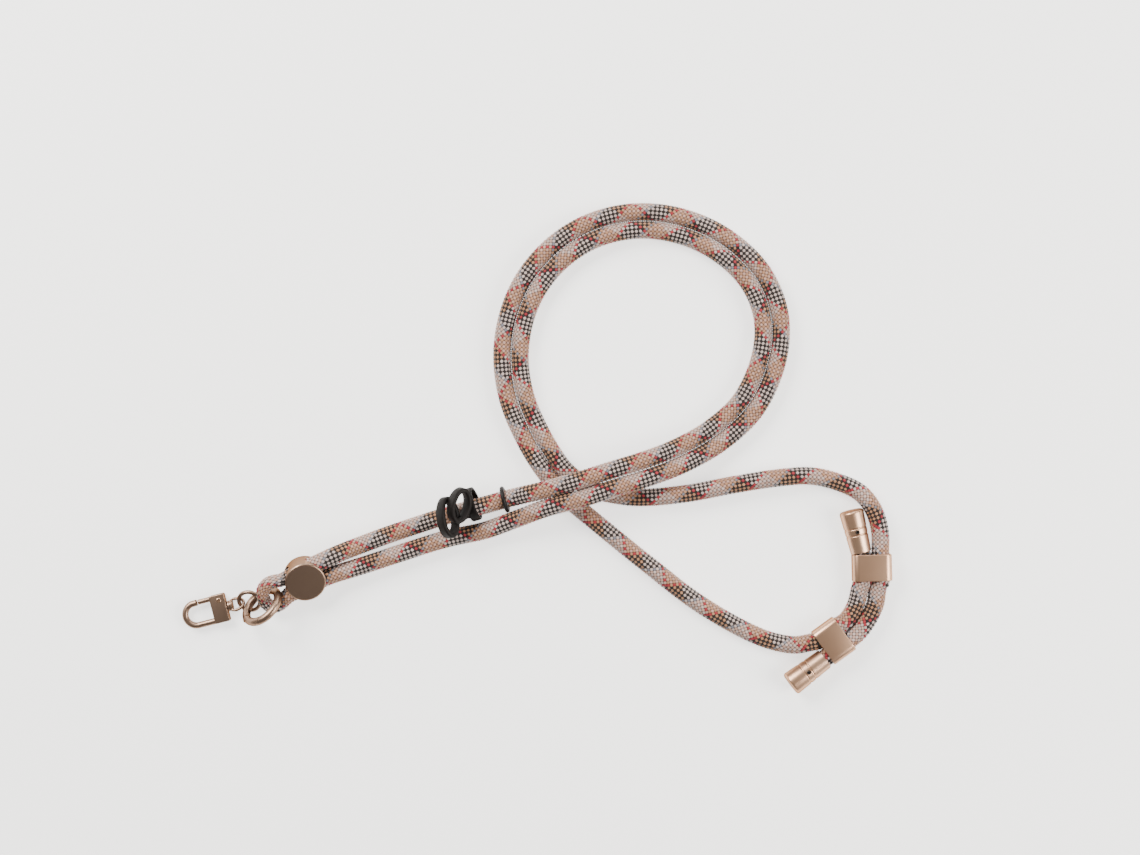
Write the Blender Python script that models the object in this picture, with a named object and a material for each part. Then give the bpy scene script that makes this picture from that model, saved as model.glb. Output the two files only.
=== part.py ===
# Phone crossbody strap lying on a table: a braided cord, its sleeves, end caps, stopper, keepers and clasp.
# The frame: +X to the right, +Y away from the viewer, +Z up from the table. Lengths are in metres.

import math

import bmesh
import bpy
from mathutils import Matrix, Vector

MM = 0.001
NEARLY = 0.01 * MM

# The cord
CORD_D = 7.9 * MM
CORD_GAP = 0.3 * MM
CLEARANCE = 0.3 * MM
CORD_STEP = 21 * MM
PINCH = 0.76
PINCH_HALF = 13 * MM
PINCH_FADE = 10 * MM

# The two double-barrelled sleeves that adjust the length
SLEEVE_LENGTH = 12.0 * MM
SLEEVE_WALL = 0.6 * MM
SLEEVE_CORNER = 3.0 * MM
SLEEVE_UPPER = (152.2 * MM, 10.0 * MM)
SLEEVE_UPPER_ANGLE = 91.5
SLEEVE_LOWER = (134.8 * MM, -23.1 * MM)
SLEEVE_LOWER_ANGLE = 36.0

# The two end caps
CAP_LENGTH = 19.5 * MM
CAP_HEAD_D = 11.2 * MM
CAP_MOUTH_D = 9.4 * MM
CAP_BORE_DEPTH = 12.0 * MM
CAP_GROOVE_DEPTH = 0.25 * MM
CAP_GROOVE_WIDTH = 0.5 * MM
CAP_GROOVES = (0.42, 0.58)
CAP_RIM = 1.2 * MM
CAP_SCREW_AT = 0.5
SCREW_D = 1.8 * MM
SCREW_HOLE_DEPTH = 1.2 * MM
SCREW_SUNK = 0.1 * MM
UPPER_CAP_MOUTH = (147.4 * MM, 17.0 * MM)
UPPER_CAP_ANGLE = 104.0
LOWER_CAP_MOUTH = (130.8 * MM, -31.4 * MM)
LOWER_CAP_ANGLE = 216.6

# The flat round stopper that both strands run through
DISC_D = 18.6 * MM
DISC_WALL = 0.6 * MM
DISC_EDGE = 1.0 * MM
DISC_AT = (-104.8 * MM, 5.4 * MM)
DISC_ANGLE = 25.0
DISC_ROLL = 24.0

# The small round keeper on one strand
O_RING_WIRE = 1.9 * MM

# The soft keeper: three flat loops in one moulding
KEEPER_AT = (-28.9 * MM, 38.8 * MM, 6.8 * MM)
LOOP_SLACK = 2.85 * MM
LOOP_WALL = 1.6 * MM
LOOP_BAND = 4.6 * MM

# The spring-gate ring
GATE_RING_D = 21.3 * MM
GATE_RING_WIRE = 3.7 * MM
GATE_RING_AT = (-124.0 * MM, -7.1 * MM)
GATE_RING_ANGLE = 40.0
GATE_RING_TILT = 54.7
GATE_FROM = 113.0
GATE_HINGE = 195.0
SEAM_SLANT = 45.0
HEEL_SLANT = 27.0
HINGE_CHEEK = 2.0 * MM
HINGE_TONGUE = 1.3 * MM
HINGE_TONGUE_REACH = 1.65 * MM
HINGE_TONGUE_ROOT = 3.3 * MM
HINGE_PIN_D = 1.1 * MM
HINGE_PIN_SUNK = 0.35 * MM
PLAY = 0.3 * MM

# The thin ring between the swivel and the gate ring
JUMP_RING_D = 11.5 * MM
JUMP_RING_WIRE = 1.8 * MM
JUMP_RING_AT = (-130.63 * MM, -5.37 * MM, 3.43 * MM)
JUMP_RING_TILT = 29.0
JUMP_RING_RISE_TOWARDS = 77.5

# The clasp
CLASP_AT = (-140.74 * MM, -7.8 * MM)
CLASP_ANGLE = 14.3
CLASP_WIDTH = 13.0 * MM
CLASP_LENGTH = 21.0 * MM
CLASP_WIRE = 2.8 * MM
BLOCK_LENGTH = 7.0 * MM
BLOCK_THICKNESS = 4.8 * MM
BLOCK_CORNER = 0.8 * MM
BLOCK_BEVEL = 0.5 * MM
BLOCK_FACE_SHARE = 0.94
CLASP_GATE_D = 2.3 * MM
CLASP_GATE_REACH = 9.6 * MM
CLASP_GATE_CRANK = 3.4 * MM
KNUCKLE_D = 3.0 * MM
NOSE_GAP = 0.5 * MM
SLOT_BEHIND_RIVET = 1.8 * MM
SLOT_UNDER_RIVET = 2.7 * MM
RIVET_D = 2.2 * MM
RIVET_IN = 2.9 * MM
RIVET_PROUD = 0.2 * MM
RIVET_PIN_D = 1.2 * MM
COLLAR_D = 4.8 * MM
COLLAR_LENGTH = 2.3 * MM
COLLAR_BEVEL = 0.4 * MM
STEM_D = 1.8 * MM
STEM_LENGTH = 2.5 * MM
EYE_LENGTH = 5.7 * MM
EYE_WIDTH = 7.4 * MM
EYE_WIRE = 1.4 * MM
EYE_ROLL = -32.2


def clear_scene():
    for obj in list(bpy.data.objects):
        bpy.data.objects.remove(obj, do_unlink=True)


def material(name, colour, roughness, metallic):
    made = bpy.data.materials.new(name)
    made.use_nodes = True
    shader = made.node_tree.nodes["Principled BSDF"]
    shader.inputs["Base Color"].default_value = colour
    shader.inputs["Roughness"].default_value = roughness
    shader.inputs["Metallic"].default_value = metallic
    return made


def mesh_object(name, bm, look, place=None):
    bmesh.ops.recalc_face_normals(bm, faces=bm.faces)
    mesh = bpy.data.meshes.new(name)
    bm.to_mesh(mesh)
    bm.free()
    mesh.materials.append(look)
    mesh.shade_smooth()
    mesh.set_sharp_from_angle(angle=math.radians(35))
    obj = bpy.data.objects.new(name, mesh)
    bpy.context.scene.collection.objects.link(obj)
    if place is not None:
        obj.matrix_world = place
    return obj


def boolean(obj, other, operation):
    """Cuts obj by other, or joins other to it, and takes other out of the model."""
    modifier = obj.modifiers.new(operation.lower() + "_" + other.name, "BOOLEAN")
    modifier.operation = operation
    modifier.object = other
    modifier.solver = "EXACT"
    other.hide_render = True
    other.display_type = "WIRE"


def rings_to_mesh(rings, closed):
    """A bmesh through equal rings of points: a closed loop of them, or a run with flat ends."""
    bm = bmesh.new()
    rows = [[bm.verts.new(p) for p in ring] for ring in rings]
    count = len(rows[0])
    pairs = list(zip(rows, rows[1:] + rows[:1])) if closed else list(zip(rows, rows[1:]))
    for one, two in pairs:
        for i in range(count):
            j = (i + 1) % count
            bm.faces.new((one[i], one[j], two[j], two[i]))
    if not closed:
        bm.faces.new(rows[0])
        bm.faces.new(rows[-1])
    return bm


def turned(profile, sides):
    """A solid of revolution about local X, from (distance along, radius) pairs."""
    rings = []
    for along, radius in profile:
        turn = [2 * math.pi * i / sides for i in range(sides)]
        rings.append([Vector((along, radius * math.cos(t), radius * math.sin(t))) for t in turn])
    return rings_to_mesh(rings, closed=False)


def arc_tube(radius, wire, start, end, sides, steps, slants=(0.0, 0.0), only_inside=False):
    """A round bar along an arc in local XY, angles in degrees. A full turn closes on itself.

    Each end can be cut at a slant, its outer side further along the arc than its inner side. The
    slant fades out to the middle of the arc. With only_inside, the last end is cut on its inner side alone.
    """
    whole = abs(end - start) >= 360
    count = steps if whole else steps + 1
    rings = []
    for i in range(count):
        share = i / steps
        slant = math.tan(math.radians(slants[0])) * max(0.0, 1 - 2 * share)
        slant += math.tan(math.radians(slants[1])) * max(0.0, 2 * share - 1)
        ring = []
        for k in range(sides):
            turn = 2 * math.pi * k / sides
            outward = wire / 2 * math.cos(turn)
            shift = min(outward, 0.0) if only_inside and share > 0.5 else outward
            angle = math.radians(start + (end - start) * share) + slant * shift / radius
            out = Vector((math.cos(angle), math.sin(angle), 0))
            ring.append(out * (radius + outward) + Vector((0, 0, wire / 2 * math.sin(turn))))
        rings.append(ring)
    return rings_to_mesh(rings, closed=whole)


def path_tube(points, diameter, sides, closed=False):
    """A round bar through points in local XY."""
    rings = []
    count = len(points)
    for i, point in enumerate(points):
        before = points[i - 1] if closed or i else point
        after = points[(i + 1) % count] if closed or i < count - 1 else point
        along = (after - before).normalized()
        side = Vector((0, 0, 1)).cross(along)
        turn = [2 * math.pi * k / sides for k in range(sides)]
        half = diameter / 2
        rings.append([point + side * half * math.cos(t) + Vector((0, 0, half * math.sin(t))) for t in turn])
    return rings_to_mesh(rings, closed)


def arc_points(centre, radius, start, end, steps):
    angles = [math.radians(start + (end - start) * i / steps) for i in range(steps + 1)]
    return [Vector((centre[0] + radius * math.cos(a), centre[1] + radius * math.sin(a), 0)) for a in angles]


def rounded_outline(length, width, corner, steps):
    """Points of a rounded rectangle about the origin, anticlockwise."""
    points = []
    centres = ((1, 1, 0), (-1, 1, 90), (-1, -1, 180), (1, -1, 270))
    for sx, sy, start in centres:
        centre = (sx * (length / 2 - corner), sy * (width / 2 - corner))
        points += arc_points(centre, corner, start, start + 90, steps)
    return points


def prism(outline, low, high):
    """An outline in local YZ, given as XY points, extruded along local X."""
    rings = [[Vector((x, p.x, p.y)) for p in outline] for x in (low, high)]
    return rings_to_mesh(rings, closed=False)


def placed(at, angle, roll=0.0):
    """Local X turned by angle about the vertical, then rolled about local X."""
    turn = Matrix.Rotation(math.radians(angle), 4, "Z")
    return Matrix.Translation(Vector(at)) @ turn @ Matrix.Rotation(math.radians(roll), 4, "X")


UPRIGHT = Matrix.Rotation(math.radians(-90), 4, "Y")

# Sizes that follow from the ones above
BORE = CORD_D + 2 * CLEARANCE
LANE = (CORD_D + CORD_GAP) / 2
SLEEVE_HEIGHT = BORE + 2 * SLEEVE_WALL
SLEEVE_WIDTH = 2 * LANE + SLEEVE_HEIGHT
DISC_THICKNESS = BORE + 2 * DISC_WALL
LOOP_HALF = BORE / 2 + LOOP_SLACK
STRAND_END = SLEEVE_LENGTH / 2 + CLEARANCE


def disc_rest():
    """Height of the rolled stopper's middle above the table it leans on."""
    roll = math.radians(DISC_ROLL)
    across = (DISC_D / 2 - DISC_EDGE) * math.sin(roll)
    through = (DISC_THICKNESS / 2 - DISC_EDGE) * math.cos(roll)
    return across + through + DISC_EDGE


def sleeve_place(at, angle):
    return placed((at[0], at[1], SLEEVE_HEIGHT / 2), angle)


def disc_place():
    return placed((DISC_AT[0], DISC_AT[1], disc_rest()), DISC_ANGLE, DISC_ROLL)


def cap_place(mouth, angle):
    """Local X runs from the mouth to the closed end, and the cap lies along its tapered side."""
    rise = math.degrees(math.atan2(CAP_HEAD_D - CAP_MOUTH_D, 2 * CAP_LENGTH))
    turn = Matrix.Rotation(math.radians(angle), 4, "Z") @ Matrix.Rotation(math.radians(-rise), 4, "Y")
    return Matrix.Translation(Vector((mouth[0], mouth[1], CAP_MOUTH_D / 2))) @ turn


def gate_ring_place():
    wire_middle = (GATE_RING_D - GATE_RING_WIRE) / 2
    height = GATE_RING_WIRE / 2 + wire_middle * math.sin(math.radians(GATE_RING_TILT))
    at = (GATE_RING_AT[0], GATE_RING_AT[1], height)
    return placed(at, GATE_RING_ANGLE, 180 - GATE_RING_TILT)


def lane(place, side, half):
    """Two ends and the middle of one strand's straight way through a sleeve or the stopper."""
    return [place @ Vector((x, side * LANE, 0)) for x in (-half, 0, half)]


def in_cap(mouth, angle):
    place = cap_place(mouth, angle)
    return [place @ Vector((x, 0, 0)) for x in (CAP_BORE_DEPTH * 0.7, -1.0 * MM)]


# The cord's route, point by point, in millimetres: x, y and the height of the cord's middle.
FROM_UPPER_SLEEVE = (
    (147.2, 1.6, 4.7),
    (144.9, -7.1, 4.3),
    (140.6, -14.0, 4.7),
)
LOWER_TAIL = (
    (125.3, -23.8, 4.6),
    (117.4, -25.2, 4.1),
    (107.0, -23.4, 4.0),
    (95.6, -18.9, 4.0),
    (73.3, -6.0, 4.0),
    (50.6, 11.4, 4.0),
    (27.4, 30.2, 4.0),
    (13.3, 42.2, 4.0),
    (3.1, 54.1, 4.0),
)
# The middle between the two strands of the big loop, clockwise from its lower left
LOOP_MIDDLE = (
    (-1.9, 70.1, 4.0),
    (-9.2, 87.9, 4.0),
    (-11.6, 106.1, 4.0),
    (-9.4, 122.5, 4.0),
    (-2.6, 138.8, 4.0),
    (10.8, 154.2, 4.0),
    (27.8, 163.9, 4.0),
    (47.0, 167.5, 4.0),
    (66.5, 164.8, 4.0),
    (84.7, 156.2, 4.0),
    (99.7, 141.5, 4.0),
    (106.7, 123.4, 4.0),
    (105.4, 104.3, 4.0),
    (96.1, 83.8, 4.0),
    (81.5, 70.1, 4.6),
    (65.2, 60.9, 7.6),
    (49.5, 54.9, 11.4),
    (34.3, 50.3, 12.6),
    (19.0, 45.4, 12.6),
    (2.9, 41.0, 10.8),
)
LEFT_LOWER = (
    (-9.6, 31.9, 6.6),
    (-23.3, 26.9, 4.2),
    (-41.7, 22.8, 4.0),
    (-61.2, 16.7, 4.0),
    (-78.0, 11.2, 4.3),
    (-88.7, 8.0, 5.7),
)
BIGHT = (
    (-114.1, -4.2, 5.2),
    (-116.5, -6.7, 4.4),
    (-119.6, -7.7, 4.6),
    (-122.1, -6.4, 6.2),
    (-123.4, -3.8, 8.3),
    (-123.6, -1.1, 10.2),
    (-122.6, 1.5, 11.6),
    (-120.6, 3.4, 12.2),
    (-118.0, 4.3, 11.6),
    (-116.2, 4.5, 10.6),
)
LEFT_UPPER = (
    (-91.2, 15.8, 8.4),
    (-83.2, 19.0, 5.8),
    (-68.9, 24.3, 4.1),
    (-53.0, 29.7, 4.1),
    (-40.7, 33.6, 5.0),
    (-30.3, 36.6, 6.4),
    (-22.1, 38.8, 6.6),
    (-14.4, 41.0, 6.5),
    (-7.6, 42.7, 7.7),
)
UPPER_TAIL = (
    (7.2, 62.5, 4.0),
    (13.3, 54.1, 4.0),
    (24.3, 46.1, 4.0),
    (39.7, 42.3, 4.0),
    (51.5, 41.9, 4.0),
    (69.7, 43.8, 4.0),
    (90.2, 47.7, 4.0),
    (110.6, 50.8, 4.0),
    (124.2, 51.6, 4.0),
    (136.1, 49.1, 4.0),
    (146.7, 44.2, 4.0),
    (153.1, 36.3, 4.0),
    (156.0, 26.6, 4.2),
)
BETWEEN_SLEEVES = (
    (155.2, 1.6, 4.7),
    (153.7, -7.2, 4.3),
    (147.6, -17.8, 4.7),
)


def metres(points):
    return [Vector(p) * MM for p in points]


def beside(points, side):
    """The points moved sideways by one lane, to the left of the way they run for side 1."""
    moved = []
    for i, point in enumerate(points):
        along = points[min(i + 1, len(points) - 1)] - points[max(i - 1, 0)]
        across = Vector((-along.y, along.x, 0)).normalized()
        moved.append(point + across * LANE * side)
    return moved


def cord_route():
    """The cord's middle line from the upper cap to the lower one."""
    upper = sleeve_place(SLEEVE_UPPER, SLEEVE_UPPER_ANGLE)
    lower = sleeve_place(SLEEVE_LOWER, SLEEVE_LOWER_ANGLE)
    disc = disc_place()
    disc_half = DISC_D / 2
    loop = metres(LOOP_MIDDLE)
    route = in_cap(UPPER_CAP_MOUTH, UPPER_CAP_ANGLE)
    route += reversed(lane(upper, 1, STRAND_END))
    route += metres(FROM_UPPER_SLEEVE)
    route += reversed(lane(lower, 1, STRAND_END))
    route += metres(LOWER_TAIL)
    route += beside(loop, 1)
    route += metres(LEFT_LOWER)
    route += reversed(lane(disc, -1, disc_half))
    route += metres(BIGHT)
    route += lane(disc, 1, disc_half)
    route += metres(LEFT_UPPER)
    route += reversed(beside(loop, -1))
    route += metres(UPPER_TAIL)
    route += reversed(lane(upper, -1, STRAND_END))
    route += metres(BETWEEN_SLEEVES)
    route += reversed(lane(lower, -1, STRAND_END))
    route += reversed(in_cap(LOWER_CAP_MOUTH, LOWER_CAP_ANGLE))
    return route


def smooth(points, step):
    """A centripetal Catmull-Rom curve through the points, with a point about every step."""
    ends = [points[0] * 2 - points[1]] + points + [points[-1] * 2 - points[-2]]
    line = []
    for p0, p1, p2, p3 in zip(ends, ends[1:], ends[2:], ends[3:]):
        t1 = (p1 - p0).length ** 0.5
        t2 = t1 + (p2 - p1).length ** 0.5
        t3 = t2 + (p3 - p2).length ** 0.5
        count = max(1, round((p2 - p1).length / step))
        for k in range(count):
            t = t1 + (t2 - t1) * k / count
            a1 = p0.lerp(p1, t / t1)
            a2 = p1.lerp(p2, (t - t1) / (t2 - t1))
            a3 = p2.lerp(p3, (t - t2) / (t3 - t2))
            b1 = a1.lerp(a2, t / t2)
            b2 = a2.lerp(a3, (t - t1) / (t3 - t1))
            line.append(b1.lerp(b2, (t - t1) / (t2 - t1)))
    return line + [points[-1]]


def pinch(line):
    """How thin the cord is at each point: it is squeezed where it folds round the gate ring."""
    run = [0.0]
    for one, two in zip(line, line[1:]):
        run.append(run[-1] + (two - one).length)
    leftmost = min(range(len(line)), key=lambda i: line[i].x)
    factors = []
    for along in run:
        away = abs(along - run[leftmost]) - PINCH_HALF
        share = min(max(away / PINCH_FADE, 0.0), 1.0)
        factors.append(PINCH + (1 - PINCH) * share)
    return factors


def make_cord(look):
    line = smooth(cord_route(), CORD_STEP)
    curve = bpy.data.curves.new("rope", "CURVE")
    curve.dimensions = "3D"
    curve.bevel_depth = CORD_D / 2
    curve.bevel_resolution = 3
    curve.use_fill_caps = True
    curve.twist_mode = "MINIMUM"
    spline = curve.splines.new("POLY")
    spline.points.add(len(line) - 1)
    for spot, point, factor in zip(spline.points, line, pinch(line)):
        spot.co = (*point, 1)
        spot.radius = factor
    curve.materials.append(look)
    rope = bpy.data.objects.new("rope", curve)
    bpy.context.scene.collection.objects.link(rope)
    return rope


def make_sleeve(name, at, angle, look):
    place = sleeve_place(at, angle)
    half = SLEEVE_LENGTH / 2
    outside = rounded_outline(SLEEVE_WIDTH, SLEEVE_HEIGHT, SLEEVE_CORNER, 4)
    sleeve = mesh_object(name, prism(outside, -half, half), look, place)
    inside = rounded_outline(2 * LANE + BORE, BORE, BORE / 2 - NEARLY, 6)
    bore = mesh_object(name + "_bore", prism(inside, -half - MM, half + MM), look, place)
    boolean(sleeve, bore, "DIFFERENCE")
    return sleeve


def cap_side(share):
    """Radius of a cap's tapered side at a share of its length from the mouth."""
    return (CAP_MOUTH_D + (CAP_HEAD_D - CAP_MOUTH_D) * share) / 2


def cap_profile():
    """Distance from the mouth and radius along a cap's outside, from the mouth to the closed end."""
    points = [(0.0, cap_side(0))]
    for share in CAP_GROOVES:
        for along, depth in ((-1, 0), (-0.6, 1), (0.6, 1), (1, 0)):
            x = CAP_LENGTH * share + along * CAP_GROOVE_WIDTH
            points.append((x, cap_side(x / CAP_LENGTH) - depth * CAP_GROOVE_DEPTH))
    shoulder = CAP_LENGTH - CAP_RIM
    widest = cap_side(shoulder / CAP_LENGTH)
    for turn in (0, 30, 60, 85):
        angle = math.radians(turn)
        points.append((shoulder + CAP_RIM * math.sin(angle), widest - CAP_RIM * (1 - math.cos(angle))))
    return points


def screw_place(mouth, angle):
    """Local X points up out of a cap, from the cap's middle line, where the set screw is."""
    return cap_place(mouth, angle) @ Matrix.Translation(Vector((CAP_LENGTH * CAP_SCREW_AT, 0, 0))) @ UPRIGHT


def make_cap(name, mouth, angle, look):
    place = cap_place(mouth, angle)
    cap = mesh_object(name, turned(cap_profile(), 24), look, place)
    bore_profile = [(-MM, BORE / 2), (CAP_BORE_DEPTH - MM, BORE / 2), (CAP_BORE_DEPTH, BORE / 2 - MM)]
    bore = mesh_object(name + "_bore", turned(bore_profile, 20), look, place)
    boolean(cap, bore, "DIFFERENCE")
    side = cap_side(CAP_SCREW_AT)
    hole_radius = (SCREW_D + PLAY) / 2
    hole_profile = [(side - SCREW_HOLE_DEPTH, hole_radius), (side + MM, hole_radius)]
    hole = mesh_object(name + "_hole", turned(hole_profile, 12), look, screw_place(mouth, angle))
    boolean(cap, hole, "DIFFERENCE")
    return cap


def make_screw(name, mouth, angle, look):
    """The set screw of a cap is a small plug in the band between the grooves."""
    radius = (SCREW_D - PLAY) / 2
    profile = [(BORE / 2 + PLAY / 3, radius), (cap_side(CAP_SCREW_AT) - SCREW_SUNK, radius)]
    return mesh_object(name, turned(profile, 12), look, screw_place(mouth, angle))


def make_disc(look):
    place = disc_place()
    half = DISC_THICKNESS / 2
    edge = DISC_EDGE
    radius = DISC_D / 2
    profile = [(-half, radius - edge), (-half + edge * 0.3, radius - edge * 0.3), (-half + edge, radius)]
    profile += [(-x, r) for x, r in reversed(profile)]
    disc = mesh_object("disc_stopper", turned(profile, 40), look, place @ UPRIGHT)
    inside = rounded_outline(2 * LANE + BORE, BORE, BORE / 2 - NEARLY, 6)
    bore = mesh_object("disc_bore", prism(inside, -radius - MM, radius + MM), look, place)
    boolean(disc, bore, "DIFFERENCE")
    return disc


def make_o_ring(look):
    """Stands round the upper strand, square to it."""
    route = metres(LEFT_UPPER)
    at = route[-2]
    along = (route[-1] - route[-3]).normalized()
    place = Matrix.Translation(at) @ along.to_track_quat("Z", "Y").to_matrix().to_4x4()
    ring = arc_tube((BORE + O_RING_WIRE) / 2, O_RING_WIRE, 0, 360, 8, 28)
    return mesh_object("o_ring", ring, look, place)


def band_loop(long_half, short_half, band, wall, steps):
    """A flat band bent to an oval about local Z, long_half and short_half to the middle of its wall."""
    rings = []
    for i in range(steps):
        angle = 2 * math.pi * i / steps
        middle = Vector((short_half * math.cos(angle), long_half * math.sin(angle), 0))
        out = Vector((math.cos(angle) / short_half, math.sin(angle) / long_half, 0)).normalized()
        section = ((1, 1), (-1, 1), (-1, -1), (1, -1))
        rings.append([middle + out * wall / 2 * a + Vector((0, 0, band / 2 * b)) for a, b in section])
    return rings_to_mesh(rings, closed=True)


# The soft keeper's loops: each one's middle from KEEPER_AT and its half sizes as shares of LOOP_HALF, its lean
# and turn in degrees, and its band's width and wall as shares of LOOP_BAND and LOOP_WALL
KEEPER_LOOPS = (
    {"at": (0, 0, 0), "long": 1.0, "short": 0.83, "lean": 80, "turn": 17, "band": 0.9, "wall": 0.75},
    {"at": (-0.79, -0.03, 1.24), "long": 0.99, "short": 0.61, "lean": 37, "turn": -12, "band": 1.1, "wall": 1.4},
    {"at": (-1.51, -0.8, 1.17), "long": 1.17, "short": 0.58, "lean": 43, "turn": 8, "band": 1.1, "wall": 1.4},
)


def make_keeper(look):
    made = []
    for number, loop in enumerate(KEEPER_LOOPS):
        band = LOOP_BAND * loop["band"]
        wall = LOOP_WALL * loop["wall"]
        bm = band_loop(loop["long"] * LOOP_HALF, loop["short"] * LOOP_HALF, band, wall, 28)
        at = Vector(KEEPER_AT) + Vector(loop["at"]) * LOOP_HALF
        turn = Matrix.Rotation(math.radians(loop["turn"]), 4, "Z")
        lean = Matrix.Rotation(math.radians(loop["lean"]), 4, "Y")
        name = "silicone_keeper" if number == 0 else f"keeper_loop_{number}"
        made.append(mesh_object(name, bm, look, Matrix.Translation(at) @ turn @ lean))
    for other in made[1:]:
        boolean(made[0], other, "UNION")
    return made[0]


def make_gate_ring(look):
    """The ring's body, its sprung gate, and the pin that the gate turns on."""
    place = gate_ring_place()
    middle = (GATE_RING_D - GATE_RING_WIRE) / 2
    wire = GATE_RING_WIRE
    gap = math.degrees(PLAY / middle)
    cheek = math.degrees(HINGE_CHEEK / middle)
    body_shape = arc_tube(
        middle, wire, GATE_HINGE - cheek, GATE_FROM - 1.3 * gap + 360, 12, 40, slants=(0.0, SEAM_SLANT)
    )
    body = mesh_object("ring_body", body_shape, look, place)
    hinge = math.radians(GATE_HINGE)
    hub = place @ Matrix.Translation(Vector((middle * math.cos(hinge), middle * math.sin(hinge), 0)))
    leaf_place = hub @ Matrix.Rotation(hinge, 4, "Z")
    slot_half = HINGE_TONGUE / 2 + PLAY
    slot_shape = []
    for y in (-HINGE_TONGUE_ROOT, HINGE_CHEEK + PLAY):
        corners = ((wire, slot_half), (-wire, slot_half), (-wire, -slot_half), (wire, -slot_half))
        slot_shape.append([Vector((x, y, z)) for x, z in corners])
    slot = mesh_object("ring_slot", rings_to_mesh(slot_shape, closed=False), look, leaf_place)
    boolean(body, slot, "DIFFERENCE")
    pin_half = wire / 2 - HINGE_PIN_SUNK
    pin_shape = turned([(-pin_half, HINGE_PIN_D / 2), (pin_half, HINGE_PIN_D / 2)], 10)
    pin = mesh_object("ring_pin_shape", pin_shape, look, hub @ UPRIGHT)
    boolean(body, pin, "UNION")
    slants = (SEAM_SLANT, HEEL_SLANT)
    gate_shape = arc_tube(middle, wire, GATE_FROM, GATE_HINGE - cheek - gap, 12, 16, slants, only_inside=True)
    gate = mesh_object("ring_gate", gate_shape, look, place)
    tongue = [Vector((x, -HINGE_TONGUE_ROOT, 0)) for x in (-HINGE_TONGUE_REACH, HINGE_TONGUE_REACH)]
    tongue += arc_points((0, 0), HINGE_TONGUE_REACH, 0, 180, 8)
    leaf_shape = [[Vector((p.x, p.y, z)) for p in tongue] for z in (-HINGE_TONGUE / 2, HINGE_TONGUE / 2)]
    leaf = mesh_object("ring_tongue", rings_to_mesh(leaf_shape, closed=False), look, leaf_place)
    boolean(gate, leaf, "UNION")
    eye_radius = HINGE_PIN_D / 2 + PLAY
    eye_shape = turned([(-wire, eye_radius), (wire, eye_radius)], 10)
    eye = mesh_object("ring_tongue_eye", eye_shape, look, hub @ UPRIGHT)
    boolean(gate, eye, "DIFFERENCE")
    return body, gate


def make_jump_ring(look):
    turn = Matrix.Rotation(math.radians(JUMP_RING_RISE_TOWARDS), 4, "Z")
    lean = Matrix.Rotation(math.radians(-JUMP_RING_TILT), 4, "Y")
    place = Matrix.Translation(Vector(JUMP_RING_AT)) @ turn @ lean
    middle = (JUMP_RING_D - JUMP_RING_WIRE) / 2
    return mesh_object("jump_ring", arc_tube(middle, JUMP_RING_WIRE, 0, 360, 6, 28), look, place)


def clasp_place():
    return placed((CLASP_AT[0], CLASP_AT[1], BLOCK_THICKNESS / 2), CLASP_ANGLE)


def block_shape():
    """The clasp's block: a rounded slab with softened upper and lower edges."""
    half = BLOCK_THICKNESS / 2
    outline = rounded_outline(BLOCK_LENGTH, CLASP_WIDTH, BLOCK_CORNER, 3)
    steps = (
        (BLOCK_FACE_SHARE, -half),
        (1.0, -half + BLOCK_BEVEL),
        (1.0, half - BLOCK_BEVEL),
        (BLOCK_FACE_SHARE, half),
    )
    rings = [[Vector((p.x * s - BLOCK_LENGTH / 2, p.y * s, z)) for p in outline] for s, z in steps]
    return rings_to_mesh(rings, closed=False)


def rivet_shape():
    """The rivet: its pin across the slot and its proud upper head. Local X runs up."""
    half = BLOCK_THICKNESS / 2
    head = RIVET_D / 2
    pin = RIVET_PIN_D / 2
    low = CLASP_GATE_D / 2 + PLAY
    wall = (low + half) / 2
    profile = [(-wall, pin), (wall, pin), (wall, head), (half, head), (half + RIVET_PROUD, head * 0.7)]
    return turned(profile, 16)


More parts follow.
